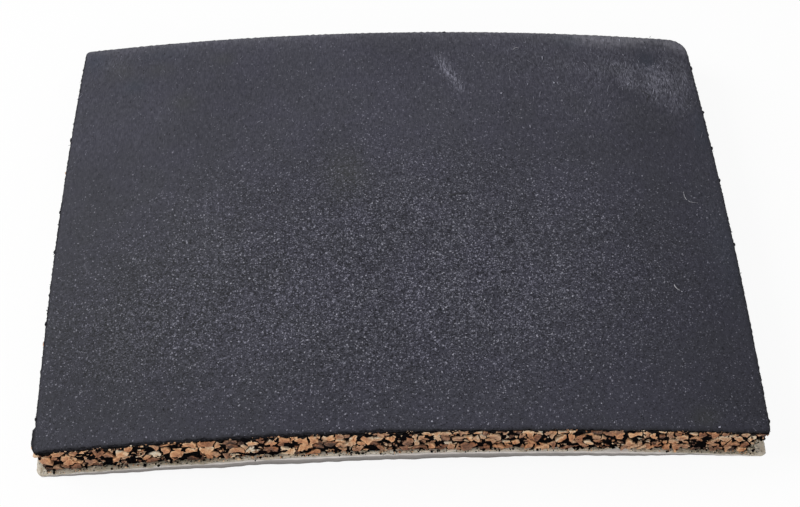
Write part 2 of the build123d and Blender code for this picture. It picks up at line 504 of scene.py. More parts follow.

# %% [markdown]
# ## Release liner
#
# The liner is silicone-coated paper, a quarter of a millimetre thick. It is the lowest layer and
# shows as the pale line under the front. Its edge stands a little further out than the tape and
# wavers by a tenth of a millimetre. The knife pressed the front edge down into a burr, which
# hangs lowest near the middle, where the bowed pad lifted it off the bench. The burr's face is
# painted grey: painted shade of the gap under the arch.

# %% Finish of the liner
liner_finish, tree, surface = finish_of("siliconed_paper")
fibres = noise(tree, place_of(tree, (1.0, 0.25, 1.0)), 0.5, 4.0)
stains = noise(tree, place_of(tree), 9.0, 3.0)
paper = ramp(tree, stains, [(0.30, (0.71, 0.665, 0.63)), (0.62, (0.79, 0.745, 0.71))])
paper = mix(tree, remap(tree, fibres, 0.35, 0.75, 0.0, 0.35), paper, (0.82, 0.79, 0.76, 1))
# painted shade: the burr's face takes the grey of the shadow in the gap under the arch
paper = mix(tree, attribute(tree, "shade"), paper, (0.262, 0.233, 0.219, 1))
normal = bump(tree, fibres, 0.03)
fill(
    surface, {"Base Color": paper, "Normal": normal, "Roughness": 0.42, "Specular IOR Level": 0.35}
)
print(liner_finish.name)

# %% Liner
LINER_REACH = 0.95  # how far the liner stands out of the core
BURR_DEPTH, BURR_MIDDLE, BURR_HALF = 1.35, -6.0, 65.0  # mm, along the front edge
DRAWN_IN = 0.27  # mm, how far the knife took the front edge back in the middle
SLIP_MIDDLE, SLIP_HALF = 12.0, 50.0  # mm, where along the front it did
ENDS_SHORT = 0.22  # mm, how much the liner's front edge falls back at both its ends
FULL_MIDDLE, FULL_HALF, FULL_FADE = 4.0, 38.0, 12.0  # mm, the stretch where it doesn't


def knife_slip(loop):
    """How far the front edge was cut short: DRAWN_IN in the middle, falling off with x squared."""
    at_front = loop[:, 1] < -HALF_DEPTH - 0.5 * LEDGE
    return DRAWN_IN * np.clip(1 - ((loop[:, 0] - SLIP_MIDDLE) / SLIP_HALF) ** 2, 0, 1) * at_front


liner_loop = as_loop(outline(LINER_REACH))
liner_out = outward(liner_loop)
waver = 0.06 * ripples(liner_loop, 14.0, 1) + 0.03 * ripples(liner_loop, 2.5, 2)
waver -= knife_slip(liner_loop)
beyond_full = smooth((np.abs(liner_loop[:, 0] - FULL_MIDDLE) - FULL_HALF) / FULL_FADE)
waver -= ENDS_SHORT * beyond_full * (liner_loop[:, 1] < -HALF_DEPTH)
droop = 0.05 + 0.03 * ripples(liner_loop, 10.0, 3)
on_front = liner_loop[:, 1] < -HALF_DEPTH - 0.9 * LINER_REACH
burr = BURR_DEPTH * np.clip(1 - ((liner_loop[:, 0] - BURR_MIDDLE) / BURR_HALF) ** 2, 0, 1)
burr *= on_front
burr *= 1 + 0.09 * ripples(liner_loop, 9.0, 41) + 0.02 * ripples(liner_loop, 2.2, 42)
liner_rings = ring_points(
    liner_loop,
    liner_out,
    rows(-0.55, waver - 0.04, waver, waver - 0.01, waver - 0.04, -0.55),
    rows(LINER_TOP, LINER_TOP - droop, 0.18 - droop, 0.12 - droop, -droop - burr, 0.0),
)
liner_rings[..., 2] = np.maximum(liner_rings[..., 2], 0.0)
in_shade = np.clip(burr / 0.3, 0, 1)  # all of it where the burr is over 0.3 mm deep
# painted shade: none on the liner's top, full on the burr's face and on its underside
liner_shade = rows(0.0, 0.08 * in_shade, 0.6 * in_shade, in_shade, in_shade, 1.0)
ring_slab(
    "liner_sheet", liner_rings, finish=liner_finish, body="liner", slot="release_liner",
    node="release_liner", numbers={"shade": liner_shade.ravel()},
)

# %% [markdown]
# ## Double-sided tape
#
# Three films make the tape: a beige adhesive, a tissue that carries it, and the adhesive that will
# hold the pad on its backing. They stand out of the core as a narrow ledge. The upper adhesive is
# tacky and has picked up crumbs, so its surface is lumpy. Two places of the front ledge were
# torn away, and the liner's pale face shows there.

# %% Finishes of the tape
adhesive_finish, tree, surface = finish_of("tacky_beige_adhesive")
where = place_of(tree)
cloud = noise(tree, where, 2.2, 4.0, 0.6)
beige = ramp(
    tree,
    cloud,
    [(0.30, (0.32, 0.265, 0.19)), (0.46, (0.53, 0.455, 0.355)), (0.66, (0.71, 0.645, 0.545))],
)
dirt = remap(tree, noise(tree, where, 0.50, 2.0), 0.585, 0.665)
# darker where the rings say so: towards both ends of the ledge, and painted shade at its left
# corner
beige = mix(tree, attribute(tree, "darkening"), beige, (0.27, 0.235, 0.17, 1))
fill(
    surface,
    {
        "Base Color": mix(tree, dirt, beige, (0.075, 0.058, 0.042, 1)),
        "Normal": bump(tree, noise(tree, where, 0.7, 3.0), 0.12),
        "Roughness": 0.38,
        "Subsurface Weight": 0.15,
        "Subsurface Radius": (0.0006, 0.0004, 0.0002),
    },
)

carrier_finish, tree, surface = finish_of("carrier_tissue")
fibres = noise(tree, place_of(tree, (1.0, 0.3, 2.0)), 0.4, 4.0)
tissue = ramp(tree, fibres, [(0.3, (0.34, 0.30, 0.24)), (0.7, (0.60, 0.56, 0.49))])
fill(surface, {"Base Color": tissue, "Normal": bump(tree, fibres, 0.05), "Roughness": 0.8})
print(adhesive_finish.name, carrier_finish.name)

# %% Tape layers
TEARS = (  # (x where the tear starts, x where it is deepest and ends, depth), mm
    (33.4, 39.2, 0.74),
    (-40.2, -43.6, 0.40),
)
tape_loop = as_loop(outline(LEDGE))
tape_out = outward(tape_loop)
ragged = 0.05 * ripples(tape_loop, 5.0, 4) + 0.03 * ripples(tape_loop, 1.2, 5)
at_front = tape_loop[:, 1] < -HALF_DEPTH
torn_off = np.zeros(len(tape_loop))
for start, end, depth in TEARS:
    share = (tape_loop[:, 0] - start) / (end - start)
    torn_off += depth * np.where((share > 0) & (share < 1), share, 0.0) ** 0.7 * at_front
ragged -= torn_off + knife_slip(tape_loop)

lumps = []
for layer in range(3):
    spots = np.column_stack([tape_loop, np.full(len(tape_loop), float(layer))])
    lumps.append(np.abs(ripples(spots, 1.1, 6)) * 0.05)
upper_rings = ring_points(
    tape_loop,
    tape_out,
    rows(-1.2, -0.72, -0.45 + 0.3 * ragged, -0.18 + 0.7 * ragged, ragged - 0.04, ragged),
    rows(
        CORE_BOTTOM,
        CORE_BOTTOM + 2 * lumps[0],
        CORE_BOTTOM + lumps[1],
        CORE_BOTTOM - 0.01 + lumps[2],
        CORE_BOTTOM - 0.04,
        CARRIER_TOP,
    ),
)
# how much darker the adhesive is: more towards both ends, and painted shade at the left corner
ring_x = upper_rings[..., 0]
darkening = 0.45 * smooth((np.abs(ring_x - 8) - 32) / 12)  # darker towards both ends
darkening += 0.3 * smooth((-61.5 - ring_x) / 1.5)  # most of all at the left one: painted shade where the left lamp lights the corner brightly
darker_left, darker_right = np.exp(-(((ring_x + 36) / 9) ** 2)), smooth((ring_x - 42) / 8)
darkening += 0.35 * darker_left + 0.3 * darker_right
darkening *= 1 - smooth((ring_x - 59.5) / 3)  # but not at the right corner
ring_slab(
    "upper_adhesive", upper_rings, finish=adhesive_finish, body="pad", slot="tape_adhesive",
    node="tape_upper_adhesive", numbers={"darkening": darkening.ravel()},
)
tissue_edge = ragged + 0.04 * ripples(tape_loop, 0.9, 7)
carrier_rings = ring_points(
    tape_loop, tape_out, rows(-1.2, tissue_edge, tissue_edge, -1.2),
    rows(CARRIER_TOP, CARRIER_TOP - 0.02, CARRIER_BOTTOM + 0.02, CARRIER_BOTTOM),
)
ring_slab(
    "carrier_tissue", carrier_rings, finish=carrier_finish, body="pad", slot="tape_carrier",
    node="tape_carrier",
)
squeezed = ragged - 0.03 + 0.03 * ripples(tape_loop, 2.0, 8)
lower_rings = ring_points(
    tape_loop, tape_out, rows(-1.2, squeezed - 0.02, squeezed, squeezed - 0.02, -1.2),
    rows(CARRIER_BOTTOM, CARRIER_BOTTOM - 0.01, 0.35, TAPE_BOTTOM + 0.01, TAPE_BOTTOM),
)
ring_slab(
    "lower_adhesive", lower_rings, finish=adhesive_finish, body="pad", slot="tape_adhesive",
    node="tape_lower_adhesive",
)

# %% [markdown]
# ## Rubber of the core
#
# The core's cut is where the object's character is: cork chips held in black rubber, torn as much
# as cut. The unrolled cut is a strip with two parameters, s along the outline and v above the
# core's underside, and cut_point bends any point of that strip back round the pad. Rubber, chips
# and crumbs all use it, so that they agree, also at the two front corners, whose lower edges have
# crumbled away.

# %% The unrolled cut
CORE_HEIGHT = CORE_TOP - CORE_BOTTOM
closed_loop = np.concatenate([core_loop, core_loop[:1]])
loop_run = np.append(0, np.cumsum(np.hypot(*np.diff(closed_loop, axis=0).T)))
CUT_LENGTH = loop_run[-1]
closed_out = np.concatenate([core_out, core_out[:1]])
CRUMBLED = {-1: (0.9, 4.6, 8.0), 1: (2.0, 5.2, 9.0)}  # width, height and length gone, by side


def crumble(x, y, v):
    """Pulls points near a crumbled front corner inwards: most at the bottom of the front cut.

    The loss is the full width times a quarter ellipse over the height and times a straight
    run-out backwards.
    """
    for side, (width, height, length) in CRUMBLED.items():
        over_height = np.sqrt(np.clip(1 - (v / height) ** 2, 0, 1))
        loss = width * over_height * np.clip(1 - (y + HALF_DEPTH) / length, 0, 1)
        limit = HALF_WIDTH - loss
        x = np.where((side * x > limit) & (loss > 0), side * limit, x)
    return x, y


def cut_point(s, v, out):
    """The place in space of points s mm along the cut, v mm up from its foot and out mm proud."""
    s = np.mod(s, CUT_LENGTH)
    x, y = (np.interp(s, loop_run, closed_loop[:, k]) for k in (0, 1))
    out_x, out_y = (np.interp(s, loop_run, closed_out[:, k]) for k in (0, 1))
    x, y = crumble(x + out_x * out, y + out_y * out, v)
    return np.stack([x, y, on_arch(x, CORE_BOTTOM + v)], -1)


print("the cut is", round(CUT_LENGTH, 1), "mm long and", round(CORE_HEIGHT, 2), "mm high")

# %% Finish of the rubber
rubber_finish, tree, surface = finish_of("black_binder_rubber")
grit_noise = noise(tree, place_of(tree), 0.35, 4.0, 0.6)
black = ramp(
    tree,
    grit_noise,
    [
        (0.35, (0.001, 0.001, 0.0015)),
        (0.66, (0.005, 0.004, 0.0045)),
        # the palest stop: sparse grey specks, painted glints of cut rubber crumbs
        (0.82, (0.05, 0.040, 0.034)),
    ],
)
normal = bump(tree, grit_noise, 0.12)
fill(
    surface, {"Base Color": black, "Normal": normal, "Roughness": 0.7, "Specular IOR Level": 0.006}
)
print(rubber_finish.name)

# %% Rubber
RUBBER_ROWS = 22
levels_down = np.linspace(CORE_HEIGHT, 0, RUBBER_ROWS)
s_grid, v_grid = np.meshgrid(loop_run[:-1], levels_down)
flat_grid = np.broadcast_to(core_loop, (RUBBER_ROWS, *core_loop.shape))
place = np.concatenate([flat_grid, v_grid[..., None]], -1)
torn = 0.09 * ripples(place, 1.5, 9) + 0.06 * ripples(place, 0.8, 10) - 0.12
rubber_rings = cut_point(s_grid, v_grid, torn)
ring_slab(
    "rubber_binder", rubber_rings, finish=rubber_finish, body="pad", slot="cork_rubber_core",
    node="cork_rubber_core",
)

# %% [markdown]
# ## Cork chips
#
# Granulated cork packs as any crushed stuff does: each grain fills the space up to half way to its
# neighbours. That is a Voronoi cell, and it can be found without any search for its corners: along
# a ray from the grain's centre, the halfway line to a neighbour lies at half their distance
# over the cosine of the angle between the ray and the neighbour. The nearest such line ends the
# grain. Fifteen rays give an angular chip, and a quarter of the cells is left to the rubber.
#
# Straight borders would look like broken glass. Real grains were squeezed round each other, so the
# whole unrolled cut is warped by a smooth random field, which bends all borders and opens no gap.
# Two cells that are each other's nearest neighbour often make one long grain. The plainest grains
# of the front are listed in a table, and the rest fill up.

# %% Cells of the chips
CHIP_CORNERS = 15
CHIP_SPACING = 1.40  # mm between grain centres, before stretching
CHIP_STRETCH = 1.10  # grains lie a little flat, so they are wider than they are high
CORK_SHARE = 0.81  # of the cells that fill up, a little above the foot of the cut
SIZE_SPREAD = 0.50  # mm2, how much the halfway lines shift between small and large grains
FRONT_RUN = loop_run[ACROSS]
RUBBER = -1.0  # stands where a tone would, for a cell without cork
SEEN = (  # the front's plainest grains: x and height in mm, size (1 is middling), tone
    (-61.9, 5.0, 1.2, 0.40), (-60.4, 1.0, 1.0, 0.58), (-60.1, 4.6, 1.2, 0.44),
    (-61.6, 2.2, 0.8, RUBBER), (-58.3, 4.2, 0.9, 0.62), (-57.2, 5.0, 0.8, 0.60),
    (-57.4, 1.1, 0.9, 0.30), (-56.6, 2.6, 0.9, 0.58), (-55.3, 1.6, 0.9, RUBBER),
    (-55.4, 5.5, 0.7, 0.78), (-54.0, 4.4, 0.7, RUBBER), (-52.6, 4.9, 1.7, 0.34),
    (-51.2, 3.6, 1.4, 0.36), (-49.4, 2.4, 1.0, 0.62), (-48.7, 4.4, 1.2, 0.78),
    (-47.2, 5.6, 0.8, 0.62), (-46.2, 2.9, 1.7, RUBBER), (-44.4, 4.2, 0.8, RUBBER),
    (-44.2, 0.8, 1.1, 0.30), (-42.9, 2.7, 0.7, 0.95), (-41.2, 4.0, 1.2, 0.56),
    (-38.6, 3.4, 1.1, 0.62), (-39.8, 1.4, 1.0, 0.60), (-37.0, 5.2, 0.9, 0.60),
    (-36.3, 2.1, 0.9, RUBBER), (-34.3, 3.6, 1.2, 0.76), (-33.0, 1.6, 0.9, 0.58),
    (-31.9, 5.0, 1.1, 0.74), (-31.0, 3.2, 0.8, RUBBER), (-29.0, 2.7, 1.1, 0.60),
    (-26.5, 4.6, 1.1, 0.74), (-24.9, 2.6, 0.8, RUBBER), (-23.4, 1.4, 1.2, 0.42),
    (-22.6, 4.6, 1.2, 0.64), (-20.8, 1.9, 0.7, 0.93), (-19.2, 2.9, 1.5, RUBBER),
    (-19.3, 5.4, 1.2, 0.66), (-17.6, 4.4, 1.3, 0.66), (-16.9, 1.4, 1.0, RUBBER),
    (-15.9, 4.6, 1.1, 0.64), (-15.0, 2.8, 1.3, 0.10), (-13.4, 4.9, 1.4, 0.74),
    (-12.9, 3.2, 0.9, 0.12), (-11.2, 4.2, 1.2, 0.72), (-10.6, 2.4, 1.2, 0.62),
    (-12.0, 1.0, 1.0, RUBBER), (-8.8, 4.6, 1.4, 0.70), (-7.6, 3.1, 1.0, 0.60),
    (-6.6, 4.6, 1.4, 0.68), (-4.9, 5.7, 1.2, 0.56), (-4.3, 1.6, 1.2, 0.44),
    (-2.2, 4.2, 1.1, 0.74), (-0.9, 2.6, 1.3, RUBBER), (0.3, 1.0, 1.1, 0.30),
    (1.5, 4.8, 1.3, 0.76), (3.2, 3.0, 0.9, RUBBER), (4.4, 1.6, 1.2, 0.62), (5.6, 3.9, 1.4, 0.76),
    (7.8, 2.8, 0.6, 0.93), (8.3, 5.2, 1.1, 0.60), (10.9, 1.4, 1.2, 0.34), (12.2, 4.1, 1.2, 0.76),
    (14.6, 2.6, 1.0, 0.60), (16.4, 5.2, 0.9, 0.62), (18.3, 4.0, 1.4, RUBBER),
    (21.1, 2.8, 1.3, 0.46), (21.5, 5.5, 1.2, 0.74), (24.7, 3.2, 1.3, RUBBER),
    (27.3, 3.3, 1.5, 0.62), (28.4, 5.7, 0.8, 0.93), (29.0, 4.3, 1.0, 0.60),
    (31.5, 4.6, 1.2, 0.62), (33.4, 2.6, 1.0, 0.42), (35.1, 1.5, 1.2, RUBBER),
    (37.2, 4.6, 1.2, 0.62), (39.4, 1.7, 1.4, 0.62), (41.2, 1.9, 1.2, 0.60),
    (39.9, 5.4, 1.2, 0.76), (41.9, 5.0, 1.1, 0.72), (40.8, 3.5, 1.0, RUBBER),
    (44.8, 6.0, 0.7, 0.97), (46.3, 4.4, 1.3, 0.58), (46.9, 2.6, 1.1, 0.60),
    (43.9, 2.4, 0.9, RUBBER), (49.6, 5.4, 1.3, 0.74), (50.6, 2.2, 1.1, RUBBER),
    (52.3, 3.4, 0.9, RUBBER), (54.3, 3.4, 1.3, 0.58), (55.9, 2.9, 1.3, 0.56),
    (57.2, 4.9, 1.2, 0.76), (58.7, 4.4, 0.9, 0.72), (59.9, 2.1, 1.2, 0.28),
    (61.0, 1.0, 0.9, RUBBER), (62.0, 4.0, 0.9, RUBBER),
)
BESIDE_CORNERS = [  # along the cut and up: a border between grains then runs down each corner
    (corner + side * 0.8, v)
    for corner in (0.0, FRONT_RUN)
    for side in (-1, 1)
    for v in (0.8, 2.4, 4.0, 5.6)
]
FILL_TONES = (0.10, 0.30, 0.46, 0.60, 0.74, 0.93)
FILL_SHARES = (0.07, 0.18, 0.26, 0.27, 0.16, 0.06)  # how common each of these tones is


def grain_centres(length, height, rng):
    """Staggered rows of points over the unrolled cut, shifted by up to 0.44 of the spacing."""
    rows_up = max(3, round(height / (1.04 * CHIP_SPACING)))
    per_row = round(length / CHIP_SPACING)
    row, column = np.mgrid[0:rows_up, 0:per_row]
    across = (column + 0.5 * (row % 2)) * length / per_row
    upwards = (row + 0.5) * height / rows_up
    shift = rng.uniform(-0.44, 0.44, (2, *row.shape)) * CHIP_SPACING
    return np.stack([(across + shift[0]).ravel(), (upwards + shift[1] * 0.8).ravel()], 1)


def cell_reach(centres, weights, angles, length, height):
    """How far each cell reaches along each of its rays.

    The line between two cells lies at (d2 + w1 - w2) / 2d from the first, where d is their distance
    and w their weights; a ray meets it at that distance over the cosine between them. The least
    over all neighbours, the floor and the ceiling is the reach.
    """
    gap = centres[None] - centres[:, None]
    gap[..., 0] = (gap[..., 0] + length / 2) % length - length / 2
    distance = np.hypot(gap[..., 0], gap[..., 1]) + 1e9 * np.eye(len(centres))
    half = (distance**2 + weights[:, None] - weights[None]) / (2 * distance)
    rays = np.stack([np.cos(angles), np.sin(angles)], -1)
    cosine = np.einsum("ikc,inc->ikn", rays, gap / distance[..., None])
    neighbours = np.where(cosine > 0.04, half[:, None] / np.maximum(cosine, 0.04), 9.0).min(-1)
    rise = rays[..., 1]
    ceiling = np.where(rise > 0.04, (height - centres[:, 1:]) / np.maximum(rise, 0.04), 9.0)
    ground = np.where(rise < -0.04, centres[:, 1:] / np.maximum(-rise, 0.04), 9.0)
    return np.minimum(np.minimum(neighbours, ceiling), ground)


def nearest_other(centres):
    """For each centre the number of the one nearest to it."""
    gap = np.linalg.norm(centres[None] - centres[:, None], axis=-1) + 1e9 * np.eye(len(centres))
    return gap.argmin(1)


rng = np.random.default_rng(21)
flat_length = CUT_LENGTH / CHIP_STRETCH
seen = np.array(SEEN)
seen_centres = np.stack([(seen[:, 0] - core_loop[0, 0]) / CHIP_STRETCH, seen[:, 1]], 1)
corner_centres = np.array(BESIDE_CORNERS) / (CHIP_STRETCH, 1.0)
filler = grain_centres(flat_length, CORE_HEIGHT, rng)
for placed, room in ((seen_centres, 0.50 + 0.20 * seen[:, 2]), (corner_centres, 0.85)):
    apart = np.linalg.norm(filler[:, None] - placed[None], axis=-1)
    filler = filler[(apart > room * CHIP_SPACING).all(1)]
centres = np.concatenate([seen_centres, corner_centres, filler])
others = len(centres) - len(seen)
weights = np.append(0.9 * (seen[:, 2] - 1), rng.normal(0, SIZE_SPREAD, others))
low_down = 1 - smooth(centres[:, 1] / 2.2)
fill_tones = rng.choice(FILL_TONES, others, p=FILL_SHARES)
fill_tones[rng.random(others) > CORK_SHARE - 0.34 * low_down[len(seen) :]] = RUBBER
tones = np.append(seen[:, 3], fill_tones)
partner = nearest_other(centres)
number = np.arange(len(centres))
joined = (partner[partner] == number) & ~np.isin(number, len(seen) + np.arange(len(corner_centres)))
joined &= joined[partner] & (rng.random(len(centres)) < 0.62)
joined &= joined[partner]
tones = np.where(joined & (partner < number), tones[partner], tones)
turn = np.arange(CHIP_CORNERS) + rng.uniform(0.1, 0.9, (len(centres), CHIP_CORNERS))
turn /= CHIP_CORNERS
reach = cell_reach(centres, weights, 2 * np.pi * turn, flat_length, CORE_HEIGHT)
web = rng.uniform(0.03, 0.17, reach.shape) * (1 + 0.5 * np.abs(np.sin(2 * np.pi * turn)))
notched = np.where(rng.random(reach.shape) < 0.18, rng.uniform(0.68, 0.92, reach.shape), 1.0)
step = centres[partner] - centres
towards = np.cos(2 * np.pi * turn - np.arctan2(step[:, 1], step[:, 0])[:, None])
facing = joined[:, None] & (towards > 0.5)
reach = np.maximum(reach - np.where(facing, -0.02, web), 0.10) * np.where(facing, 1.0, notched)
is_cork = (tones >= 0) & (reach.max(1) > 0.3)
print("cells:", len(centres), "cork:", int(is_cork.sum()), "joined in pairs:", int(joined.sum()))

# %% [markdown]
# Fresh cork is straw-coloured and its bark is dark brown. Every chip has one number, its tone, and
# a colour ramp turns that number into a shade between the two, so one finish serves all chips.
# Fine noise shifts the tone within a chip, Voronoi dots are the pores, and the sides that sink
# into the rubber are darker.

# %% Finish of the cork
cork_finish, tree, surface = finish_of("granulated_cork")
where = place_of(tree)
tone = attribute(tree, "tone")
wisp = noise(tree, where, 0.45, 4.0, 0.65)
shifted = maths(tree, "MULTIPLY_ADD", maths(tree, "SUBTRACT", wisp, 0.5), 0.85, tone)
cork = ramp(
    tree,
    shifted,
    [
        (0.00, (0.040, 0.022, 0.016)),
        (0.16, (0.150, 0.073, 0.047)),
        (0.42, (0.350, 0.170, 0.100)),
        (0.66, (0.580, 0.322, 0.186)),
        (0.84, (0.750, 0.490, 0.305)),
        (1.00, (0.800, 0.670, 0.520)),
    ],
)
warmth = ramp(
    tree, noise(tree, where, 2.6, 1.0), [(0.40, (1.08, 0.96, 0.82)), (0.60, (0.94, 1.02, 1.06))]
)
cork = mix(tree, 1.0, cork, warmth, "MULTIPLY")
pores = remap(tree, cells(tree, where, 0.30).outputs["Distance"], 0.05, 0.30, 0.72, 1.0)
streak = remap(tree, noise(tree, place_of(tree, (0.5, 0.5, 1.6)), 0.8, 3.0), 0.62, 0.74, 0.0, 0.6)
bark = mix(tree, streak, cork, (0.115, 0.055, 0.035, 1))
sides = remap(tree, attribute(tree, "rim"), 0.45, 1.0, 1.0, 0.12)
pitted = mix(tree, 1.0, bark, grey(tree, maths(tree, "MULTIPLY", pores, sides)), "MULTIPLY")
normal = bump(tree, wisp, 0.10)
fill(
    surface, {"Base Color": pitted, "Normal": normal, "Roughness": 0.72, "Specular IOR Level": 0.3}
)
print(cork_finish.name)

# %% [markdown]
# A chip is lens-shaped: a rim sunk in the rubber, the cut face a little proud and tilted, and a
# back. One function makes all of them at once, because every chip has the same number of corners
# and so the same list of faces, moved on by the points of the chips before it.

# %% Shape of a chip
def kink(s, v):
    """Shifts places on the unrolled cut by two smooth random fields.

    The fields fade out at the floor, at the ceiling and at the two front corners.
    """
    s = np.mod(s, CUT_LENGTH)
    spot = np.stack([s, v], -1)
    to_corner = np.minimum(np.minimum(s, CUT_LENGTH - s), np.abs(s - FRONT_RUN))
    inside = smooth(v / 0.9) * smooth((CORE_HEIGHT - v) / 0.9)
    along = 0.24 * ripples(spot, 2.9, 43) * smooth(to_corner / 2.0)
    return s + along, v + 0.22 * ripples(spot, 2.7, 44) * inside


def chip_meshes(s, v, reach, turn, proud, tilt, depth, rng, stretch=CHIP_STRETCH):
    """Points and faces of many chips at once.

    A chip is a stack of outlines of its cell, shrunk and moved outwards from ring to ring: a rim
    sunk in the rubber, the edge of the cut face and a ring half way in, then one point in the
    middle of the face and one in its back. Tilt raises one end of the cut face over the other.
    """
    count, corners = reach.shape
    ray = np.stack([np.cos(2 * np.pi * turn), np.sin(2 * np.pi * turn)], -1)
    flat = ray * reach[..., None]
    rings = []
    for scale, height, rough in ((1.0, -depth, 0.03), (0.93, 0.0, 0.05), (0.52, 0.07, 0.09)):
        local = flat * scale
        lean = (local * tilt[:, None]).sum(-1)
        out = height + (height >= 0) * (proud[:, None] + lean) + rng.normal(0, rough, reach.shape)
        spot = kink(s[:, None] + local[..., 0] * stretch, v[:, None] + local[..., 1])
        rings.append(cut_point(*spot, out))
    rings = np.stack(rings, 1).reshape(count, -1, 3)
    face = cut_point(*kink(s, v), proud + rng.normal(0.05, 0.05, count))
    back = cut_point(*kink(s, v), np.full(count, -2.2 * depth))
    points = np.concatenate([rings, face[:, None], back[:, None]], 1)
    first = np.arange(count)[:, None] * (3 * corners + 2)
    here = np.arange(corners)
    after = (here + 1) % corners
    quads = np.concatenate(
        [
            np.stack([here + k, after + k, after + k + corners, here + k + corners], 1)
            for k in (0, corners)
        ]
    )
    top = np.stack([here + 2 * corners, after + 2 * corners, np.full(corners, 3 * corners)], 1)
    under = np.stack([after, here, np.full(corners, 3 * corners + 1)], 1)
    quads = (first[..., None] + quads).reshape(-1, 4)
    triangles = (first[..., None] + np.concatenate([top, under])).reshape(-1, 3)
    return points.reshape(-1, 3), [quads, triangles]


def chip_numbers(tone, turn, rng):
    """Tone and rim of every point of the chips.

    The edge of a cut face is paler than its middle, partly paler cork and partly a painted
    highlight, and each chip carries painted light from above: paler on its upper side and darker on
    its lower one.
    """
    ring = np.ones(turn.shape[1])
    rim = np.concatenate([ring, 0.45 * ring, 0 * ring, [0.0, 1.0]])
    # the cut face's edge paler than its middle: partly paler cork, partly a painted highlight
    pale_edge_and_highlight = np.concatenate([0 * ring, 0.15 * ring, -0.03 * ring, [-0.08, 0.0]])
    # painted light from above: the upper side of each chip paler, its lower side darker
    painted_top_light = 0.11 * np.sin(2 * np.pi * turn)
    painted_top_light = np.concatenate([painted_top_light, painted_top_light, 0.6 * painted_top_light, np.zeros((len(turn), 2))], 1)
    shades = tone[:, None] + pale_edge_and_highlight + painted_top_light + rng.normal(0, 0.06, (len(tone), len(pale_edge_and_highlight)))
    return {"tone": np.clip(shades, 0, 1).ravel(), "rim": np.tile(rim, len(tone))}


# %% Chips
CHIP_DEPTH = 0.32  # mm from the cut face to the rim
HIDDEN = 0.16  # mm, how much deeper the chips sit all round but in front, clear of the face
chosen = np.flatnonzero(is_cork)
count = len(chosen)
tilt = rng.normal(0, 0.20, (count, 2)) + (0.0, -0.05)
proud = rng.uniform(-0.10, 0.19, count)
chip_s, chip_v = centres[chosen, 0] * CHIP_STRETCH, centres[chosen, 1]
proud -= HIDDEN * (chip_s > FRONT_RUN + 0.5)
chip_points, chip_faces = chip_meshes(
    chip_s, chip_v, reach[chosen], turn[chosen], proud, tilt, CHIP_DEPTH, rng
)
tone = tones[chosen] - 0.16 * low_down[chosen]
make_piece(
    "cork_chips", chip_points, chip_faces, finish=cork_finish, body="pad", slot="cork_granules",
    node="cork_granules", rounded=False, numbers=chip_numbers(tone, turn[chosen], rng),
)

# %% [markdown]
# The rubber between the chips isn't empty. It holds cork dust and splinters, most of them where no
# large chip is. They are the same lens, with fewer corners, strewn about the cells that are left
# to the rubber.

# %% Splinters in the rubber
SPLINTERS = 1300
SPLINTER_CORNERS = 7
SPLINTER_DEPTH = 0.16  # mm
SPLINTER_STRETCH = 1.4
SPLINTER_TONES = (0.05, 0.20, 0.45, 0.62, 0.85, 1.0)
SPLINTER_SHARES = (0.2, 0.2, 0.2, 0.15, 0.15, 0.1)  # how common each of these tones is
holes = np.flatnonzero(~is_cork)
home = centres[rng.choice(holes, SPLINTERS)] * (CHIP_STRETCH, 1.0)
home += rng.normal(0, 0.55, home.shape)
size = rng.uniform(0.08, 0.26, SPLINTERS)
splinter_reach = size[:, None] * rng.uniform(0.6, 1.3, (SPLINTERS, SPLINTER_CORNERS))
splinter_turn = np.arange(SPLINTER_CORNERS) + rng.uniform(0, 0.8, splinter_reach.shape)
splinter_turn /= SPLINTER_CORNERS
splinter_points, splinter_faces = chip_meshes(
    home[:, 0],
    np.clip(home[:, 1], 0.3, CORE_HEIGHT - 0.3),
    splinter_reach,
    splinter_turn,
    rng.uniform(-0.12, 0.10, SPLINTERS),
    rng.normal(0, 0.3, (SPLINTERS, 2)),
    SPLINTER_DEPTH,
    rng,
    stretch=SPLINTER_STRETCH,
)
tone = rng.choice(SPLINTER_TONES, SPLINTERS, p=SPLINTER_SHARES)
make_piece(
    "cork_splinters", splinter_points, splinter_faces, finish=cork_finish, body="pad",
    slot="cork_granules", rounded=False, numbers=chip_numbers(tone, splinter_turn, rng),
)

# %% [markdown]
# ## Loose crumbs and threads
#
# Everything small that lies about is one of two shapes. A crumb is a ball of few faces, turned,
# stretched and roughened at random. A thread is a thin tube along an arched line. Both are made
# thousands at a time, because every corner of every copy comes out of the same sum of arrays.

# %% Crumbs and threads as arrays
GOLD = (1 + math.sqrt(5)) / 2
ICOSAHEDRON = (
    np.array(
        [(-1, GOLD, 0), (1, GOLD, 0), (-1, -GOLD, 0), (1, -GOLD, 0), (0, -1, GOLD), (0, 1, GOLD),
         (0, -1, -GOLD), (0, 1, -GOLD), (GOLD, 0, -1), (GOLD, 0, 1), (-GOLD, 0, -1), (-GOLD, 0, 1)]
    ) / math.hypot(1, GOLD),
    np.array(
        [(0, 11, 5), (0, 5, 1), (0, 1, 7), (0, 7, 10), (0, 10, 11), (1, 5, 9), (5, 11, 4),
         (11, 10, 2), (10, 7, 6), (7, 1, 8), (3, 9, 4), (3, 4, 2), (3, 2, 6), (3, 6, 8),
         (3, 8, 9), (4, 9, 5), (2, 4, 11), (6, 2, 10), (8, 6, 7), (9, 8, 1)]
    ),
)
OCTAHEDRON = (
    np.array([(1, 0, 0), (-1, 0, 0), (0, 1, 0), (0, -1, 0), (0, 0, 1), (0, 0, -1)], float),
    np.array(
        [(0, 2, 4), (2, 1, 4), (1, 3, 4), (3, 0, 4), (2, 0, 5), (1, 2, 5), (3, 1, 5), (0, 3, 5)]
    ),
)


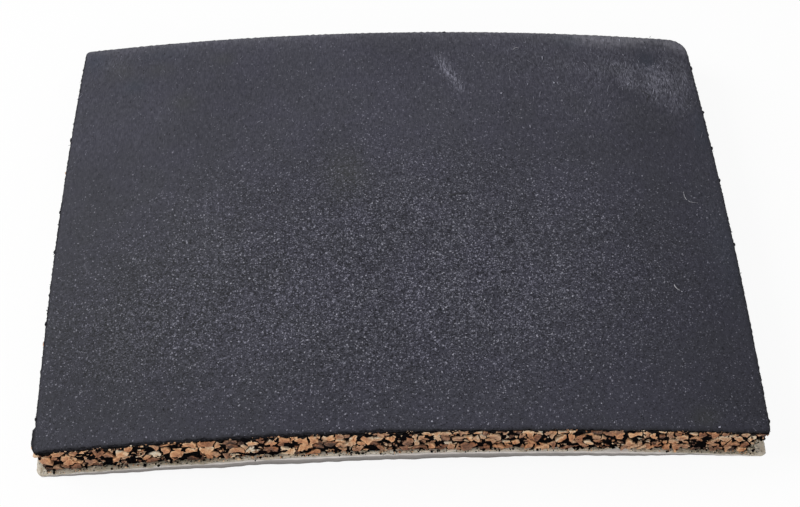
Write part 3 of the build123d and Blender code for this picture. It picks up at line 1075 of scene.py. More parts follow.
def crumb_meshes(places, sizes, shape, rough, rng):
    """Points and faces of many crumbs.

    A corner is the crumb's place plus its size times the shape's corner, turned by a random
    rotation and pushed in or out by a random share. sizes has three half sizes for each crumb.
    """
    corners, faces = shape
    spin = np.linalg.qr(rng.normal(size=(len(places), 3, 3)))[0]
    spin *= np.sign(np.linalg.det(spin))[:, None, None]
    local = np.einsum("nij,kj->nki", spin, corners)
    local *= 1 + rng.normal(0, rough, (len(places), len(corners), 1))
    points = places[:, None] + local * sizes[:, None]
    first = np.arange(len(places))[:, None, None] * len(corners)
    return points.reshape(-1, 3), [(first + faces).reshape(-1, 3)]


def thread_meshes(starts, runs, bows, radius, steps=6, sides=5):
    """Points and faces of many tubes, thinner towards their far ends.

    The middle line is start + run t + bow 4t(1 - t); a ring stands square to the run at each step.
    """
    t = np.linspace(0, 1, steps + 1)[:, None]
    middle = starts[:, None] + runs[:, None] * t + bows[:, None] * 4 * t * (1 - t)
    ahead = runs / np.linalg.norm(runs, axis=1, keepdims=True)
    side = np.cross(ahead, (0.31, 0.27, 0.91))
    side /= np.linalg.norm(side, axis=1, keepdims=True)
    over = np.cross(ahead, side)
    angle = 2 * np.pi * np.arange(sides) / sides
    spoke = side[:, None] * np.cos(angle)[:, None] + over[:, None] * np.sin(angle)[:, None]
    width = radius[:, None, None, None] * (1 - 0.6 * t[None, :, :, None] ** 2)
    points = (middle[:, :, None] + spoke[:, None] * width).reshape(len(starts), -1, 3)
    points = np.concatenate([points, middle[:, :1], middle[:, -1:]], 1)
    here = np.arange(sides)
    after = (here + 1) % sides
    level = np.arange(steps)[:, None] * sides
    quads = np.stack([here + level, after + level, after + level + sides, here + level + sides], -1)
    last = steps * sides
    near_end = np.stack([np.full(sides, last + sides), after, here], 1)
    far_end = np.stack([np.full(sides, last + sides + 1), here + last, after + last], 1)
    first = np.arange(len(starts))[:, None, None] * points.shape[1]
    quads = (first + quads.reshape(-1, 4)).reshape(-1, 4)
    triangles = (first + np.concatenate([near_end, far_end])).reshape(-1, 3)
    return points.reshape(-1, 3), [quads, triangles]


def along_loop(loop, out, count, offset, rng, front_share):
    """Random places on a loop, more of them on its front edge, moved along its outward vectors."""
    total = len(loop)
    at_front = rng.random(count) < front_share
    pick = np.where(at_front, rng.integers(0, ACROSS, count), rng.integers(0, total, count))
    share = rng.random(count)[:, None]
    flat = loop[pick] * (1 - share) + loop[(pick + 1) % total] * share + out[pick] * offset[:, None]
    return flat, out[pick]


# %% [markdown]
# The tape is sticky and its ledge is the first thing that dust from the cut falls on. Crumbs of
# cork, rubber and balled-up adhesive lie on it, and the crumbled right corner is a heap of them.

# %% Crumbs on the ledge
CRUMBS = {  # piece: finish, slot, how many on the ledge, how many in the corner, tones
    "cork_crumbs": (cork_finish, "cork_granules", 260, 30, (0.5, 1.0)),
    "rubber_crumbs": (rubber_finish, "cork_rubber_core", 560, 80, (0.0, 0.0)),
    "adhesive_crumbs": (adhesive_finish, "tape_adhesive", 300, 190, (0.0, 0.0)),
}
DARK_CRUMBS = (  # x, y and half size of the plainest rubber crumbs on the ledge
    (-42.7, -48.35, 0.24), (-25.9, -48.5, 0.13), (-21.3, -48.1, 0.15), (-8.0, -48.05, 0.27),
    (-4.2, -48.25, 0.20), (1.2, -48.2, 0.12), (13.7, -47.95, 0.36), (15.0, -47.75, 0.22),
    (29.7, -47.6, 0.34), (30.3, -47.65, 0.40), (31.1, -47.65, 0.32), (35.1, -47.5, 0.30),
    (50.6, -48.1, 0.16),
)
LEDGE_DARKENING, CORNER_DARKENING = 0.2, 0.7
rng = np.random.default_rng(22)
for name, (finish, slot, on_ledge, in_corner, tone_range) in CRUMBS.items():
    inwards = LEDGE * np.sqrt(rng.random(on_ledge))
    flat, _ = along_loop(tape_loop, tape_out, on_ledge, -inwards, rng, 0.7)
    start, end, _ = TEARS[0]
    over_tear = (flat[:, 1] < -HALF_DEPTH) & (flat[:, 0] > start + 1.5) & (flat[:, 0] < end)
    flat[over_tear, 1] = -HALF_DEPTH + 0.05
    largest = 0.15 if name == "adhesive_crumbs" else 0.27
    half = rng.lognormal(math.log(0.10), 0.45, on_ledge).clip(0.05, largest)
    if name == "rubber_crumbs":
        placed = np.array(DARK_CRUMBS)
        flat[: len(placed)], half[: len(placed)] = placed[:, :2], placed[:, 2]
    ledge_places = np.append(flat, on_arch(flat[:, 0], CORE_BOTTOM + 0.5 * half)[:, None], 1)
    s = FRONT_RUN + rng.triangular(-2.8, -0.2, 8.0, in_corner)
    corner_height = CRUMBLED[1][1] * (1 - np.clip(s - FRONT_RUN, 0, 8) / 10)
    v = corner_height * rng.random(in_corner) ** 1.4
    corner_places = cut_point(s, v, rng.uniform(-0.05, 0.22, in_corner))
    corner_places[:, 0] += rng.uniform(-0.1, 0.30, in_corner)
    half = np.append(half, rng.uniform(0.12, 0.34, in_corner))
    sizes = half[:, None] * rng.uniform(0.7, 1.3, (len(half), 3))
    places = np.concatenate([ledge_places, corner_places])
    points, faces = crumb_meshes(places, sizes, ICOSAHEDRON, 0.16, rng)
    tone = np.repeat(rng.uniform(*tone_range, len(places)), len(ICOSAHEDRON[0]))
    crumb_darkening = np.repeat([LEDGE_DARKENING, CORNER_DARKENING], (on_ledge, in_corner))
    make_piece(
        name, points, faces, finish=finish, body="pad", slot=slot, rounded=False,
        numbers={
            "tone": tone, "rim": 0 * tone, "darkening": np.repeat(crumb_darkening, len(ICOSAHEDRON[0])),
        },
    )

# %% [markdown]
# The same cork dust clings to the cut edge of the cloth above the core, in small clusters. It
# breaks up the dark line between the grit and the cork, which would look ruled without it.

# %% Cork dust on the edge of the cloth
DUST = 130  # crumbs
CLUSTERS = 45
rng = np.random.default_rng(24)
s = rng.choice(FRONT_RUN * rng.random(CLUSTERS), DUST) + rng.normal(0, 0.7, DUST)
v = CORE_HEIGHT + rng.triangular(-0.30, 0.0, 0.45, DUST)
places = cut_point(np.clip(s, 0.3, FRONT_RUN - 0.3), v, rng.uniform(0.02, 0.12, DUST))
half = rng.lognormal(math.log(0.085), 0.4, DUST).clip(0.04, 0.19)
points, faces = crumb_meshes(places, half[:, None] * (1.3, 1.0, 0.8), ICOSAHEDRON, 0.16, rng)
tone = np.repeat(rng.uniform(0.45, 1.0, DUST), len(ICOSAHEDRON[0]))
make_piece(
    "clinging_dust", points, faces, finish=cork_finish, body="pad", slot="cork_granules",
    rounded=False, numbers={"tone": tone, "rim": 0 * tone},
)

# %% [markdown]
# A few flakes stand right out of the cut: a round pale chip at the far left, the pale curl under
# the right end of the abrasive, two thin curls in the black pool near the left end, and a fan of
# three that hangs over the tape beside its torn place. Smaller curls are strewn all round.

# %% Curled flakes
FLAKES = (  # x and height of its start, run along the cut and up, bow upwards, radius, tone
    ((-63.66, 5.70), (0.8, -0.05), 0.0, 0.50, 0.78),
    ((61.5, 5.75), (2.2, 0.35), -0.28, 0.16, 0.92),
    ((-46.4, 2.6), (1.7, 1.0), -0.25, 0.11, 0.97),
    ((-45.6, 3.9), (1.2, 0.3), 0.20, 0.08, 0.90),
    ((40.6, 1.5), (-1.7, -1.15), 0.0, 0.34, 0.66),
    ((42.2, 1.4), (-1.5, -1.15), 0.0, 0.32, 0.70),
    ((43.6, 1.2), (-1.2, -0.85), 0.0, 0.26, 0.64),
)
SMALL_FLAKES = 150
rng = np.random.default_rng(23)
placed_x, placed_v, placed_run_s, placed_run_v, placed_bow, placed_radius, placed_tone = np.array(
    [(*place, *run, *rest) for place, run, *rest in FLAKES]
).T
s = np.append(placed_x - core_loop[0, 0], rng.uniform(0, CUT_LENGTH, SMALL_FLAKES))
v = np.append(placed_v, rng.uniform(0.6, CORE_HEIGHT - 0.6, SMALL_FLAKES))
run_s = np.append(placed_run_s, rng.uniform(0.5, 1.4, SMALL_FLAKES))
run_v = np.append(placed_run_v, rng.normal(0, 0.35, SMALL_FLAKES))
bow = np.append(placed_bow, rng.normal(0, 0.18, SMALL_FLAKES))
radius = np.append(placed_radius, rng.uniform(0.04, 0.09, SMALL_FLAKES))
tone = np.append(placed_tone, rng.uniform(0.5, 1.0, SMALL_FLAKES))
proud = np.append([0.06] * 4 + [0.12] * 3, np.where(s[len(FLAKES) :] < FRONT_RUN, 0.03, -0.07))
start = cut_point(s, v, proud)
stop = cut_point(s + run_s, np.clip(v + run_v, 0.15, CORE_HEIGHT), 2 * proud)
bows = np.stack([0 * bow, 0 * bow, bow], 1)
points, faces = thread_meshes(start, stop - start, bows, radius, steps=5, sides=6)
tone = np.repeat(tone, len(points) // len(s))
make_piece(
    "curled_flakes", points, faces, finish=cork_finish, body="pad", slot="cork_granules",
    rounded=False, numbers={"tone": tone, "rim": 0 * tone},
)

# %% [markdown]
# ## Laminating film and backing cloth
#
# A black bonding film and the dark cloth over it make the line between the grit and the cork. The
# film was squeezed out in drips that hang over the top row of chips. The cloth's edge swells at
# each yarn.

# %% Finishes of film and cloth
film_finish, tree, surface = finish_of("black_bonding_film")
lump = noise(tree, place_of(tree), 0.5, 3.0)
black = ramp(tree, lump, [(0.3, (0.0015, 0.0015, 0.002)), (0.75, (0.010, 0.009, 0.009))])
normal = bump(tree, lump, 0.1)
fill(
    surface, {"Base Color": black, "Normal": normal, "Roughness": 0.6, "Specular IOR Level": 0.02}
)

cloth_finish, tree, surface = finish_of("dark_backing_cloth")
thread = noise(tree, place_of(tree, (1.0, 1.0, 0.35)), 0.28, 3.0, 0.6)
dark = ramp(tree, thread, [(0.35, (0.005, 0.005, 0.007)), (0.75, (0.034, 0.032, 0.038))])
normal = bump(tree, thread, 0.12)
fill(
    surface, {"Base Color": dark, "Normal": normal, "Roughness": 0.9, "Specular IOR Level": 0.06}
)
print(film_finish.name, cloth_finish.name)

# %% Film and cloth
DRIP_LIMIT = 1.1  # mm, the longest drip
YARN_SPACING = 0.62  # mm
drip = 0.18 + 0.34 * ripples(core_loop, 2.4, 11) + 0.20 * ripples(core_loop, 1.0, 12)
drip = np.clip(drip, 0.0, DRIP_LIMIT)
swell = 0.05 + 0.04 * ripples(core_loop, 1.4, 13)
film_rings = ring_points(
    core_loop,
    core_out,
    rows(-0.3, swell, swell + 0.08, swell + 0.05, -0.3),
    rows(
        CLOTH_BOTTOM,
        CLOTH_BOTTOM,
        CORE_TOP - 0.4 * drip,
        CORE_TOP - drip - 0.05,
        CORE_TOP - drip,
    ),
)
ring_slab(
    "bonding_film", film_rings, finish=film_finish, body="pad", slot="laminating_film",
    node="laminating_film",
)
yarn = 0.05 * np.abs(np.sin(np.pi * loop_run[:-1] / YARN_SPACING))
yarn += 0.04 * ripples(core_loop, 1.0, 14)
cloth_rings = ring_points(
    core_loop,
    core_out,
    rows(-0.3, yarn - 0.02, yarn + 0.03, yarn, yarn - 0.04, -0.3),
    rows(CLOTH_TOP, CLOTH_TOP, 7.43, 7.28, CLOTH_BOTTOM, CLOTH_BOTTOM),
)
ring_slab(
    "backing_cloth_layer", cloth_rings, finish=cloth_finish, body="pad", slot="backing_cloth",
    node="backing_cloth",
)

# %% [markdown]
# ## Abrasive face
#
# The face is a sheet of dark grains about 0.2 mm across in cured resin. Its mesh is a Coons patch:
# a grid whose four borders are the four edges of the outline and whose inside blends them, so the
# grid fits the rounded corners with no gap. Each point is raised or lowered by part of a grain's
# height. The front was not cut quite square, so the face hangs over the cut a little at the right
# and stops short of it at the left.
#
# Wear doesn't follow a texture but the pad's history, so it is worked out on the points and
# stored as numbers that the finish reads, some of them painted light: haze where dust was rubbed
# in, worn and rim near the edges, with a painted reflection in the worn grey at the back right
# corner, crisp where the grit is clean and painted glints are densest, dark for painted shade on
# the right end, and two kinds of stain.

# %% Shape of the face
def coons_patch(front, right, back, left):
    """The grid between four edges.

    It is the two ways of blending opposite edges, added, less the blend of the four corners.
    """
    u = np.linspace(0, 1, len(front))[None, :, None]
    v = np.linspace(0, 1, len(left))[:, None, None]
    lengthways = (1 - v) * front[None] + v * back[None]
    sideways = (1 - u) * left[:, None] + u * right[:, None]
    front_blend = (1 - u) * front[0] + u * front[-1]
    back_blend = (1 - u) * back[0] + u * back[-1]
    return lengthways + sideways - ((1 - v) * front_blend + v * back_blend)


def edge_distance(flat):
    """How far points are from the nearest edge of the pad, in mm, taking its corners as square."""
    x, y = flat[..., 0], flat[..., 1]
    side = HALF_WIDTH + SIDE_BOW * (1 - (y / HALF_DEPTH) ** 2) - np.abs(x)
    return np.minimum(side, HALF_DEPTH - np.abs(y))


LIP_LEFT, LIP_RIGHT = -0.10, 0.27  # mm that the face hangs over the front cut
LIP_TURN, LIP_LENGTH = -10.0, 32.0  # mm, where it starts to change and how long that takes
LIP_FADE = 0.9  # mm, how fast it fades out behind the edge


def lip(flat):
    """The overhang over the front cut: an S from its left to its right value.

    It falls off backwards as exp(-distance / LIP_FADE) and ends before the corners.
    """
    x, y = flat[..., 0], flat[..., 1]
    reach = LIP_LEFT + (LIP_RIGHT - LIP_LEFT) * smooth((x - LIP_TURN) / LIP_LENGTH)
    reach += 0.06 * ripples(flat, 2.2, 61)
    ends = smooth((HALF_WIDTH - 0.6 - np.abs(x)) / 2.5)
    return reach * ends * np.exp(-np.maximum(y + HALF_DEPTH, 0) / LIP_FADE)


face_flat = coons_patch(*outline(0.0, bulge=BULGE_WIDTH))
face_rows, face_columns = face_flat.shape[:2]
inset = edge_distance(face_flat)
face_flat[..., 1] -= lip(face_flat)
rng = np.random.default_rng(31)
relief = 0.040 * rng.normal(size=inset.shape) + 0.022 * ripples(face_flat, 1.5, 15)
relief += 0.03 * ripples(face_flat, 22.0, 16) - 0.16 * np.exp(-np.maximum(inset, 0) / 0.3)
face_points = np.dstack([face_flat, on_arch(face_flat[..., 0], PAD_TOP + relief)])

numbered = np.arange(face_rows * face_columns).reshape(face_rows, face_columns)
border = np.concatenate(
    [numbered[0, :-1], numbered[:-1, -1], numbered[-1, :0:-1], numbered[:0:-1, 0]]
)
top_faces = np.stack(
    [numbered[:-1, :-1], numbered[:-1, 1:], numbered[1:, 1:], numbered[1:, :-1]], -1
).reshape(-1, 4)
chipped = 0.03 + 0.05 * ripples(core_loop, 0.9, 17)
chipped += lip(core_loop) * np.clip(-core_out[:, 1], 0, 1)
edge_rings = ring_points(
    core_loop, core_out, rows(chipped, chipped, -0.3), rows(7.72, CLOTH_TOP, CLOTH_TOP)
)
ring_numbers = face_rows * face_columns + np.arange(edge_rings[..., 0].size).reshape(3, -1)
face_faces = [top_faces, ring_faces(border, ring_numbers[0])]
face_faces += [ring_faces(a, b) for a, b in zip(ring_numbers[:-1], ring_numbers[1:])]
face_faces += cap_faces(ring_numbers[-1], False)
print("face grid:", face_rows, "x", face_columns)

# %% Wear, painted glints and painted shade of the face
def patch(flat, centre, size, turn=0.0, soft=1.0):
    """1 at the centre of an ellipse, falling smoothly to 0 outside it.

    It is exp(-(r2 to the power soft)), with r the distance in units of the ellipse's half size.
    """
    x, y = flat[..., 0] - centre[0], flat[..., 1] - centre[1]
    c, s = math.cos(math.radians(turn)), math.sin(math.radians(turn))
    along, across = (c * x + s * y) / size[0], (c * y - s * x) / size[1]
    return np.exp(-((along**2 + across**2) ** soft))


HAZE = (  # (centre, half size, turn in degrees, strength): dust rubbed into the grit
    ((57.2, 34.9), (4.4, 7.0), 14, 1.50),
    ((61.2, 38.6), (2.8, 3.4), 0, 0.35),
    ((62.0, -8.0), (3.0, 16.0), 0, 0.18),
    ((51.8, 35.4), (3.4, 2.8), 0, 1.45),
    ((46.6, 37.6), (4.6, 4.0), 0, 0.45),
    ((54.2, 40.8), (2.2, 2.2), 0, -0.8),
    ((48.0, 40.0), (6.0, 4.0), 0, 0.25),
    ((38.0, 38.0), (8.0, 8.0), 0, 0.28),
    ((44.0, 26.5), (10.0, 4.0), 0, 0.16),
    ((26.0, 40.0), (8.0, 6.0), 0, 0.14),
    ((-57.1, 43.1), (2.4, 2.0), 0, 0.35),
)
RUBBED_BACK = 0.22  # an even haze over the back half
PALE_LINES = (  # ends and half width in mm, strength
    (((10.4, 40.2), (14.4, 31.2)), 0.75, 1.25),
    (((11.2, 37.6), (13.0, 34.2)), 1.1, 0.8),
    (((-34.1, 8.2), (-33.2, -19.0)), 0.35, 0.30),
    (((-36.3, 7.1), (-35.6, -9.7)), 0.30, 0.25),
    (((-58.2, -8.6), (-57.8, -11.0)), 0.35, 0.7),
    (((-49.2, -20.2), (-48.0, -23.8)), 0.35, 0.5),
)
WORN_AND_SHEEN = (  # greyer where the back edge was rubbed
    ((46.4, 47.0), (7.6, 2.4), 0, 1.15),
    # painted reflection on the back right corner, over its wear
    ((61.4, 46.0), (4.4, 1.7), -32, 1.0),
    ((52.5, 47.4), (4.0, 1.2), 0, 0.6),
)
WORN_BACK = 0.46  # a narrow band all along the back edge
OLIVE = (  # faint greenish stains
    ((-56.0, -17.0), (32.0, 40.0), 0, 0.46), ((-9.3, 9.8), (4.2, 5.0), 0, 0.9),
    ((52.2, -45.5), (2.6, 2.0), 0, 0.8), ((-55.5, 41.0), (4.5, 3.0), -40, 0.7),
    ((-47.2, 40.3), (3.0, 2.0), 0, 0.6), ((-42.1, 30.5), (3.0, 2.4), 0, 0.7),
    ((-34.0, 42.0), (2.6, 1.6), 0, 0.5),
)
BLUE = (  # and bluish ones
    ((54.2, 40.6), (2.2, 3.0), 0, 1.0), ((-61.5, 44.5), (2.6, 3.0), 0, 0.9),
    ((-52.4, 36.0), (2.6, 2.0), 0, 0.8), ((38.4, 45.6), (2.4, 2.0), 0, 0.7),
    ((-47.0, 44.5), (5.0, 2.0), 0, 0.5), ((63.0, 22.0), (1.6, 5.0), 0, 0.9),
    ((63.0, -9.0), (4.0, 13.0), 0, 0.6),
)
SPARKLE_MIDDLE = ((2.0, -14.0), (64.0, 37.0), 0, 1.6)  # where the grit is cleanest and painted glints are densest
SPARKLE_LEFT = ((-54.0, -28.0), (20.0, 16.0))  # and some more of them
SPARKLE_PATCHES = (  # (shape, strength): at least this much clean grit and painted glint
    (((14.0, 18.0), (62.0, 36.0), 0, 1.3), 0.40),
    (((60.0, -8.0), (14.0, 26.0), 0, 1.3), 0.50),
)


def blots(flat, shapes):
    """Many patches of one kind, added up."""
    return sum(strength * patch(flat, *shape) for *shape, strength in shapes)


def scratched(flat, ends, width):
    """1 on a straight scratch, falling off to its sides as exp(-(distance / width)2)."""
    start, end = np.array(ends)
    run = end - start
    along = np.clip(((flat - start) @ run) / (run @ run), 0, 1)
    return np.exp(-(np.linalg.norm(flat - start - along[..., None] * run, axis=-1) / width) ** 2)


def wear_and_light_numbers(flat, inset):
    """What the finish reads, for points of the face."""
    x, y = flat[..., 0], flat[..., 1]
    haze = blots(flat, HAZE)
    haze *= 1 + 0.25 * ripples(flat, 5.0, 28)
    haze += RUBBED_BACK * smooth((y + 18) / 50)
    haze += sum(strength * scratched(flat, ends, width) for ends, width, strength in PALE_LINES)
    # where the grit is clean and painted glints are densest
    clean_and_sparkle = patch(flat, *SPARKLE_MIDDLE) + 0.4 * patch(flat, *SPARKLE_LEFT)
    clean_and_sparkle = np.maximum(clean_and_sparkle, 0.45 * smooth((-18 - y) / 12))  # along the front
    for shape, strength in SPARKLE_PATCHES:
        clean_and_sparkle = np.maximum(clean_and_sparkle, strength * patch(flat, *shape))
    # wear along the back edge, and a painted reflection at the back right corner
    worn_and_sheen = blots(flat, WORN_AND_SHEEN) + WORN_BACK * np.exp(-np.maximum(HALF_DEPTH - y, 0) / 1.3)
    # painted shade: the right end is darkened beyond what the left lamp gives; a little darker at
    # the front left too
    dark = 0.20 * smooth((x - 28) / 34)  # the right end, and a little at the front left
    dark += 0.06 * smooth((-44 - x) / 12) * smooth((-20 - y) / 16)
    return {
        "haze": np.clip(haze, 0, 2),
        "worn_and_sheen": np.clip(worn_and_sheen * (1 + 0.25 * ripples(flat, 1.6, 45)), 0, 1),
        "clean_and_sparkle": np.clip(clean_and_sparkle, 0, 2),
        "dark": dark,
        "olive": blots(flat, OLIVE),
        "blue": blots(flat, BLUE),
        "rim": np.exp(-np.maximum(inset, 0) / 0.22) * smooth((HALF_DEPTH - y) / 2.0),
    }


wear_and_light = wear_and_light_numbers(face_flat, inset)
ring_count = edge_rings[..., 0].size
face_numbers = {  # the cut edge below the grid is all rim
    key: np.append(values.ravel(), np.full(ring_count, float(key == "rim")))
    for key, values in wear_and_light.items()
}
print({key: round(float(values.mean()), 3) for key, values in wear_and_light.items()})

# %% [markdown]
# Close up, the grit is thousands of grains, and each catches the light in its own way. A picture
# laid over the face would blur when seen from near, so a Voronoi texture gives every grain a tone
# of its own. Where the grit is clean the tones lie further apart and tips stand out, and a few
# grains there get a painted glint, a pale colour for the sparkle of polished grains. Where dust
# was rubbed in, strokes of noise run over the grains.

# %% Finish of the face
GRAIN, TIP, CLUMP = 0.22, 0.34, 0.55  # mm across
# the colour of a painted glint, the sparkle of a polished grain
PAINTED_GLINT = (0.34, 0.34, 0.382, 1)
RUBBED_IN = (0.215, 0.215, 0.25, 1)  # dust
WORN_AND_SHEEN_GREY = (0.215, 0.212, 0.235, 1)
OLIVE_STAIN = (0.056, 0.060, 0.042, 1)
BLUE_STAIN = (0.040, 0.050, 0.066, 1)
RIM_BLACK = (0.012, 0.012, 0.014, 1)

face_finish, tree, surface = finish_of("coated_abrasive")
where = place_of(tree)

# every grain has a tone of its own, more varied where the grit is crisp
grains = cells(tree, where, GRAIN)
random_grain = add_node(tree, "ShaderNodeSeparateColor", None, {0: grains.outputs["Color"]})
clumps = maths(tree, "SUBTRACT", noise(tree, where, CLUMP, 2.0), 0.5)
clean_and_sparkle = attribute(tree, "clean_and_sparkle")
uneven = maths(tree, "MULTIPLY_ADD", clumps, 0.25, random_grain.outputs[0])
contrast = maths(tree, "MULTIPLY_ADD", clean_and_sparkle, 0.83, 0.145)
strokes = noise(tree, place_of(tree, (1.9, 0.42, 1.0)), 0.42, 3.0, 0.6)
smeared = maths(tree, "SUBTRACT", 1.0, clean_and_sparkle, clamp=True)
level = maths(tree, "MULTIPLY_ADD", strokes, maths(tree, "MULTIPLY_ADD", smeared, 0.48, 0.12), 0.44)
level = maths(tree, "MULTIPLY_ADD", smeared, -0.24, level)
blotch = maths(tree, "SUBTRACT", noise(tree, place_of(tree, (1.3, 0.8, 1.0)), 1.0, 2.0), 0.5)
level = maths(tree, "MULTIPLY_ADD", blotch, maths(tree, "MULTIPLY", smeared, 0.45), level)
toned = maths(tree, "MULTIPLY_ADD", maths(tree, "SUBTRACT", uneven, 0.5), contrast, level)

# tips stand out of it, and a few grains get a painted glint
tips = cells(tree, where, TIP)
tip_height = add_node(tree, "ShaderNodeSeparateColor", None, {0: tips.outputs["Color"]}).outputs[0]
tip = remap(tree, tips.outputs["Distance"], 0.20, 0.38, 1.0, 0.0)
tip = maths(tree, "MULTIPLY", tip, maths(tree, "SUBTRACT", tip_height, 0.47))
toned = maths(tree, "MULTIPLY_ADD", tip, maths(tree, "MULTIPLY", clean_and_sparkle, 2.35), toned)
grit = ramp(
    tree,
    toned,
    [
        (0.00, (0.004, 0.004, 0.006)),
        (0.17, (0.0180, 0.0180, 0.0230)),
        (0.34, (0.0355, 0.0355, 0.0455)),
        (0.70, (0.0440, 0.0440, 0.0560)),
        (0.86, (0.0740, 0.0740, 0.0910)),
        (1.00, (0.175, 0.175, 0.207)),
    ],
)
# painted glint: a few grains, more of them where the grit is clean, are mixed towards a pale colour
threshold = maths(tree, "MULTIPLY_ADD", clean_and_sparkle, -0.050, 0.993)
painted_sparkle = maths(tree, "GREATER_THAN", random_grain.outputs[1], threshold)
sparkle_brightness = maths(tree, "MULTIPLY", maths(tree, "POWER", random_grain.outputs[2], 1.6), painted_sparkle)
sparkle_share = maths(tree, "MULTIPLY_ADD", clean_and_sparkle, 0.75, 0.3, clamp=True)
colour = mix(tree, maths(tree, "MULTIPLY", sparkle_brightness, sparkle_share), grit, PAINTED_GLINT)

# dust, wear with a painted reflection at the back right corner, stains and the dark rim lie over
# the grains
dusty_strokes = maths(tree, "MULTIPLY", remap(tree, strokes, 0.38, 0.76, 0.04, 1.0), 0.75)
layers = (  # attribute, how much of it shows, its colour
    ("haze", dusty_strokes, RUBBED_IN),
    # worn grey, which at the back right corner is also a painted reflection
    ("worn_and_sheen", remap(tree, strokes, 0.30, 0.70, 0.45, 0.95), WORN_AND_SHEEN_GREY),
    ("olive", 0.3, OLIVE_STAIN),
    ("blue", 0.4, BLUE_STAIN),
    ("rim", 0.85, RIM_BLACK),
)
for name, showing, layer in layers:
    share = maths(tree, "MULTIPLY", attribute(tree, name), showing, clamp=True)
    colour = mix(tree, share, colour, layer)
broad = remap(tree, noise(tree, where, 18.0, 2.0), 0.3, 0.7, 0.92, 1.06)
# dark is painted shade: it darkens the face's right end
broad = maths(tree, "MULTIPLY", broad, maths(tree, "SUBTRACT", 1.0, attribute(tree, "dark")))
tint = ramp(
    tree, noise(tree, where, 9.0, 2.0), [(0.42, (1.0, 1.0, 1.035)), (0.58, (1.0, 0.99, 1.06))]
)
colour = mix(tree, 1.0, colour, tint, "MULTIPLY")
fill(
    surface,
    {
        "Base Color": mix(tree, 1.0, colour, grey(tree, broad), "MULTIPLY"),
        "Normal": bump(tree, grains.outputs["Distance"], 0.05),
        "Roughness": 0.85,
        "Specular IOR Level": 0.18,
    },
)
print(face_finish.name)

# %% Face
all_points = np.concatenate([face_points.reshape(-1, 3), edge_rings.reshape(-1, 3)])
make_piece(
    "abrasive_face", all_points, face_faces, finish=face_finish, body="pad", slot="abrasive_grit",
    node="abrasive_grit", numbers=face_numbers,
)

# %% [markdown]
# ## Proud grains and strays
#
# Some fourteen thousand grains stand higher than the rest, and it is they that catch the light and
# make the edge of the face rough. A handful are pale strays. A bump in the finish would show them
# from above but leave the edge smooth, so each is a small mesh of eight faces.

# %% Finishes of grains and lint
grain_finish, tree, surface = finish_of("proud_grain")
shade = ramp(
    tree,
    attribute(tree, "tone"),
    [
        (0.00, (0.012, 0.012, 0.016)),
        (0.70, (0.040, 0.040, 0.052)),
        (0.90, (0.090, 0.090, 0.116)),
        # the palest tones: pale strays, pale scuffs and painted glints on proud grains
        (1.00, (0.335, 0.335, 0.400)),
    ],
)
normal = bump(tree, noise(tree, place_of(tree), 0.15), 0.02)
fill(
    surface, {"Base Color": shade, "Normal": normal, "Roughness": 0.5, "Specular IOR Level": 0.3}
)

lint_finish, tree, surface = finish_of("pale_lint")
fuzz = noise(tree, place_of(tree), 0.2, 3.0)
pale = ramp(tree, fuzz, [(0.3, (0.25, 0.25, 0.27)), (0.7, (0.50, 0.50, 0.53))])
fill(surface, {"Base Color": pale, "Roughness": 0.9})
print(grain_finish.name, lint_finish.name)

# %% Proud grains
PROUD_GRAINS = 14000
STRAYS = (  # x, y, half size, tone of the pale strays
    (5.3, -2.2, 0.26, 1.0), (4.6, -46.2, 0.20, 1.0), (34.2, -42.9, 0.18, 1.0),
    (36.0, -46.6, 0.17, 1.0), (54.4, -47.2, 0.24, 1.0), (37.6, 7.6, 0.24, 0.97),
    (-30.2, -28.4, 0.16, 1.0), (-22.6, -18.8, 0.16, 1.0), (33.8, 33.2, 0.22, 1.0),
    (22.6, 30.0, 0.22, 1.0), (54.2, 7.3, 0.15, 0.97), (58.4, 3.9, 0.17, 0.96),
    (59.2, 1.5, 0.19, 0.97), (58.3, -0.3, 0.17, 0.97), (60.2, -0.9, 0.15, 0.95),
    (62.9, 0.1, 0.15, 0.95), (52.3, -18.7, 0.15, 0.97),
)
rng = np.random.default_rng(32)
row = rng.integers(0, face_rows, PROUD_GRAINS)
column = rng.integers(0, face_columns, PROUD_GRAINS)
flat = face_flat[row, column] + rng.normal(0, 0.10, (PROUD_GRAINS, 2))
half = rng.lognormal(math.log(0.098), 0.28, PROUD_GRAINS).clip(0.05, 0.19)
half *= 1 - 0.5 * smooth((flat[:, 1] - HALF_DEPTH + 1.2) / 0.8)  # worn low along the back edge
# paler tones where the grit is clean, up to the pale end that paints a glint
tone = rng.random(PROUD_GRAINS) * (0.68 + 0.30 * np.clip(wear_and_light["clean_and_sparkle"][row, column], 0, 1))
stray = np.array(STRAYS)
flat = np.concatenate([flat, stray[:, :2]])
half = np.append(half, stray[:, 2])
tone = np.append(tone, stray[:, 3])
sizes = half[:, None] * rng.uniform(0.8, 1.25, (len(half), 3)) * (1.0, 1.0, 0.75)
ground = np.append(relief[row, column], np.full(len(stray), 0.08))
places = np.append(flat, on_arch(flat[:, 0], PAD_TOP - 0.02 + ground)[:, None], 1)
points, faces = crumb_meshes(places, sizes, OCTAHEDRON, 0.14, rng)
make_piece(
    "proud_grains", points, faces, finish=grain_finish, body="pad", slot="abrasive_grit",
    rounded=False, numbers={"tone": np.repeat(tone, len(OCTAHEDRON[0]))},
)

# %% [markdown]
# Where the pad was rubbed with something hard, the tops of the grains carry short pale strokes,
# most of them at the right end of the back. They run roughly from front to back. The longest, and
# three dark scratches, are listed one by one. All are thin tubes half sunk in the face.

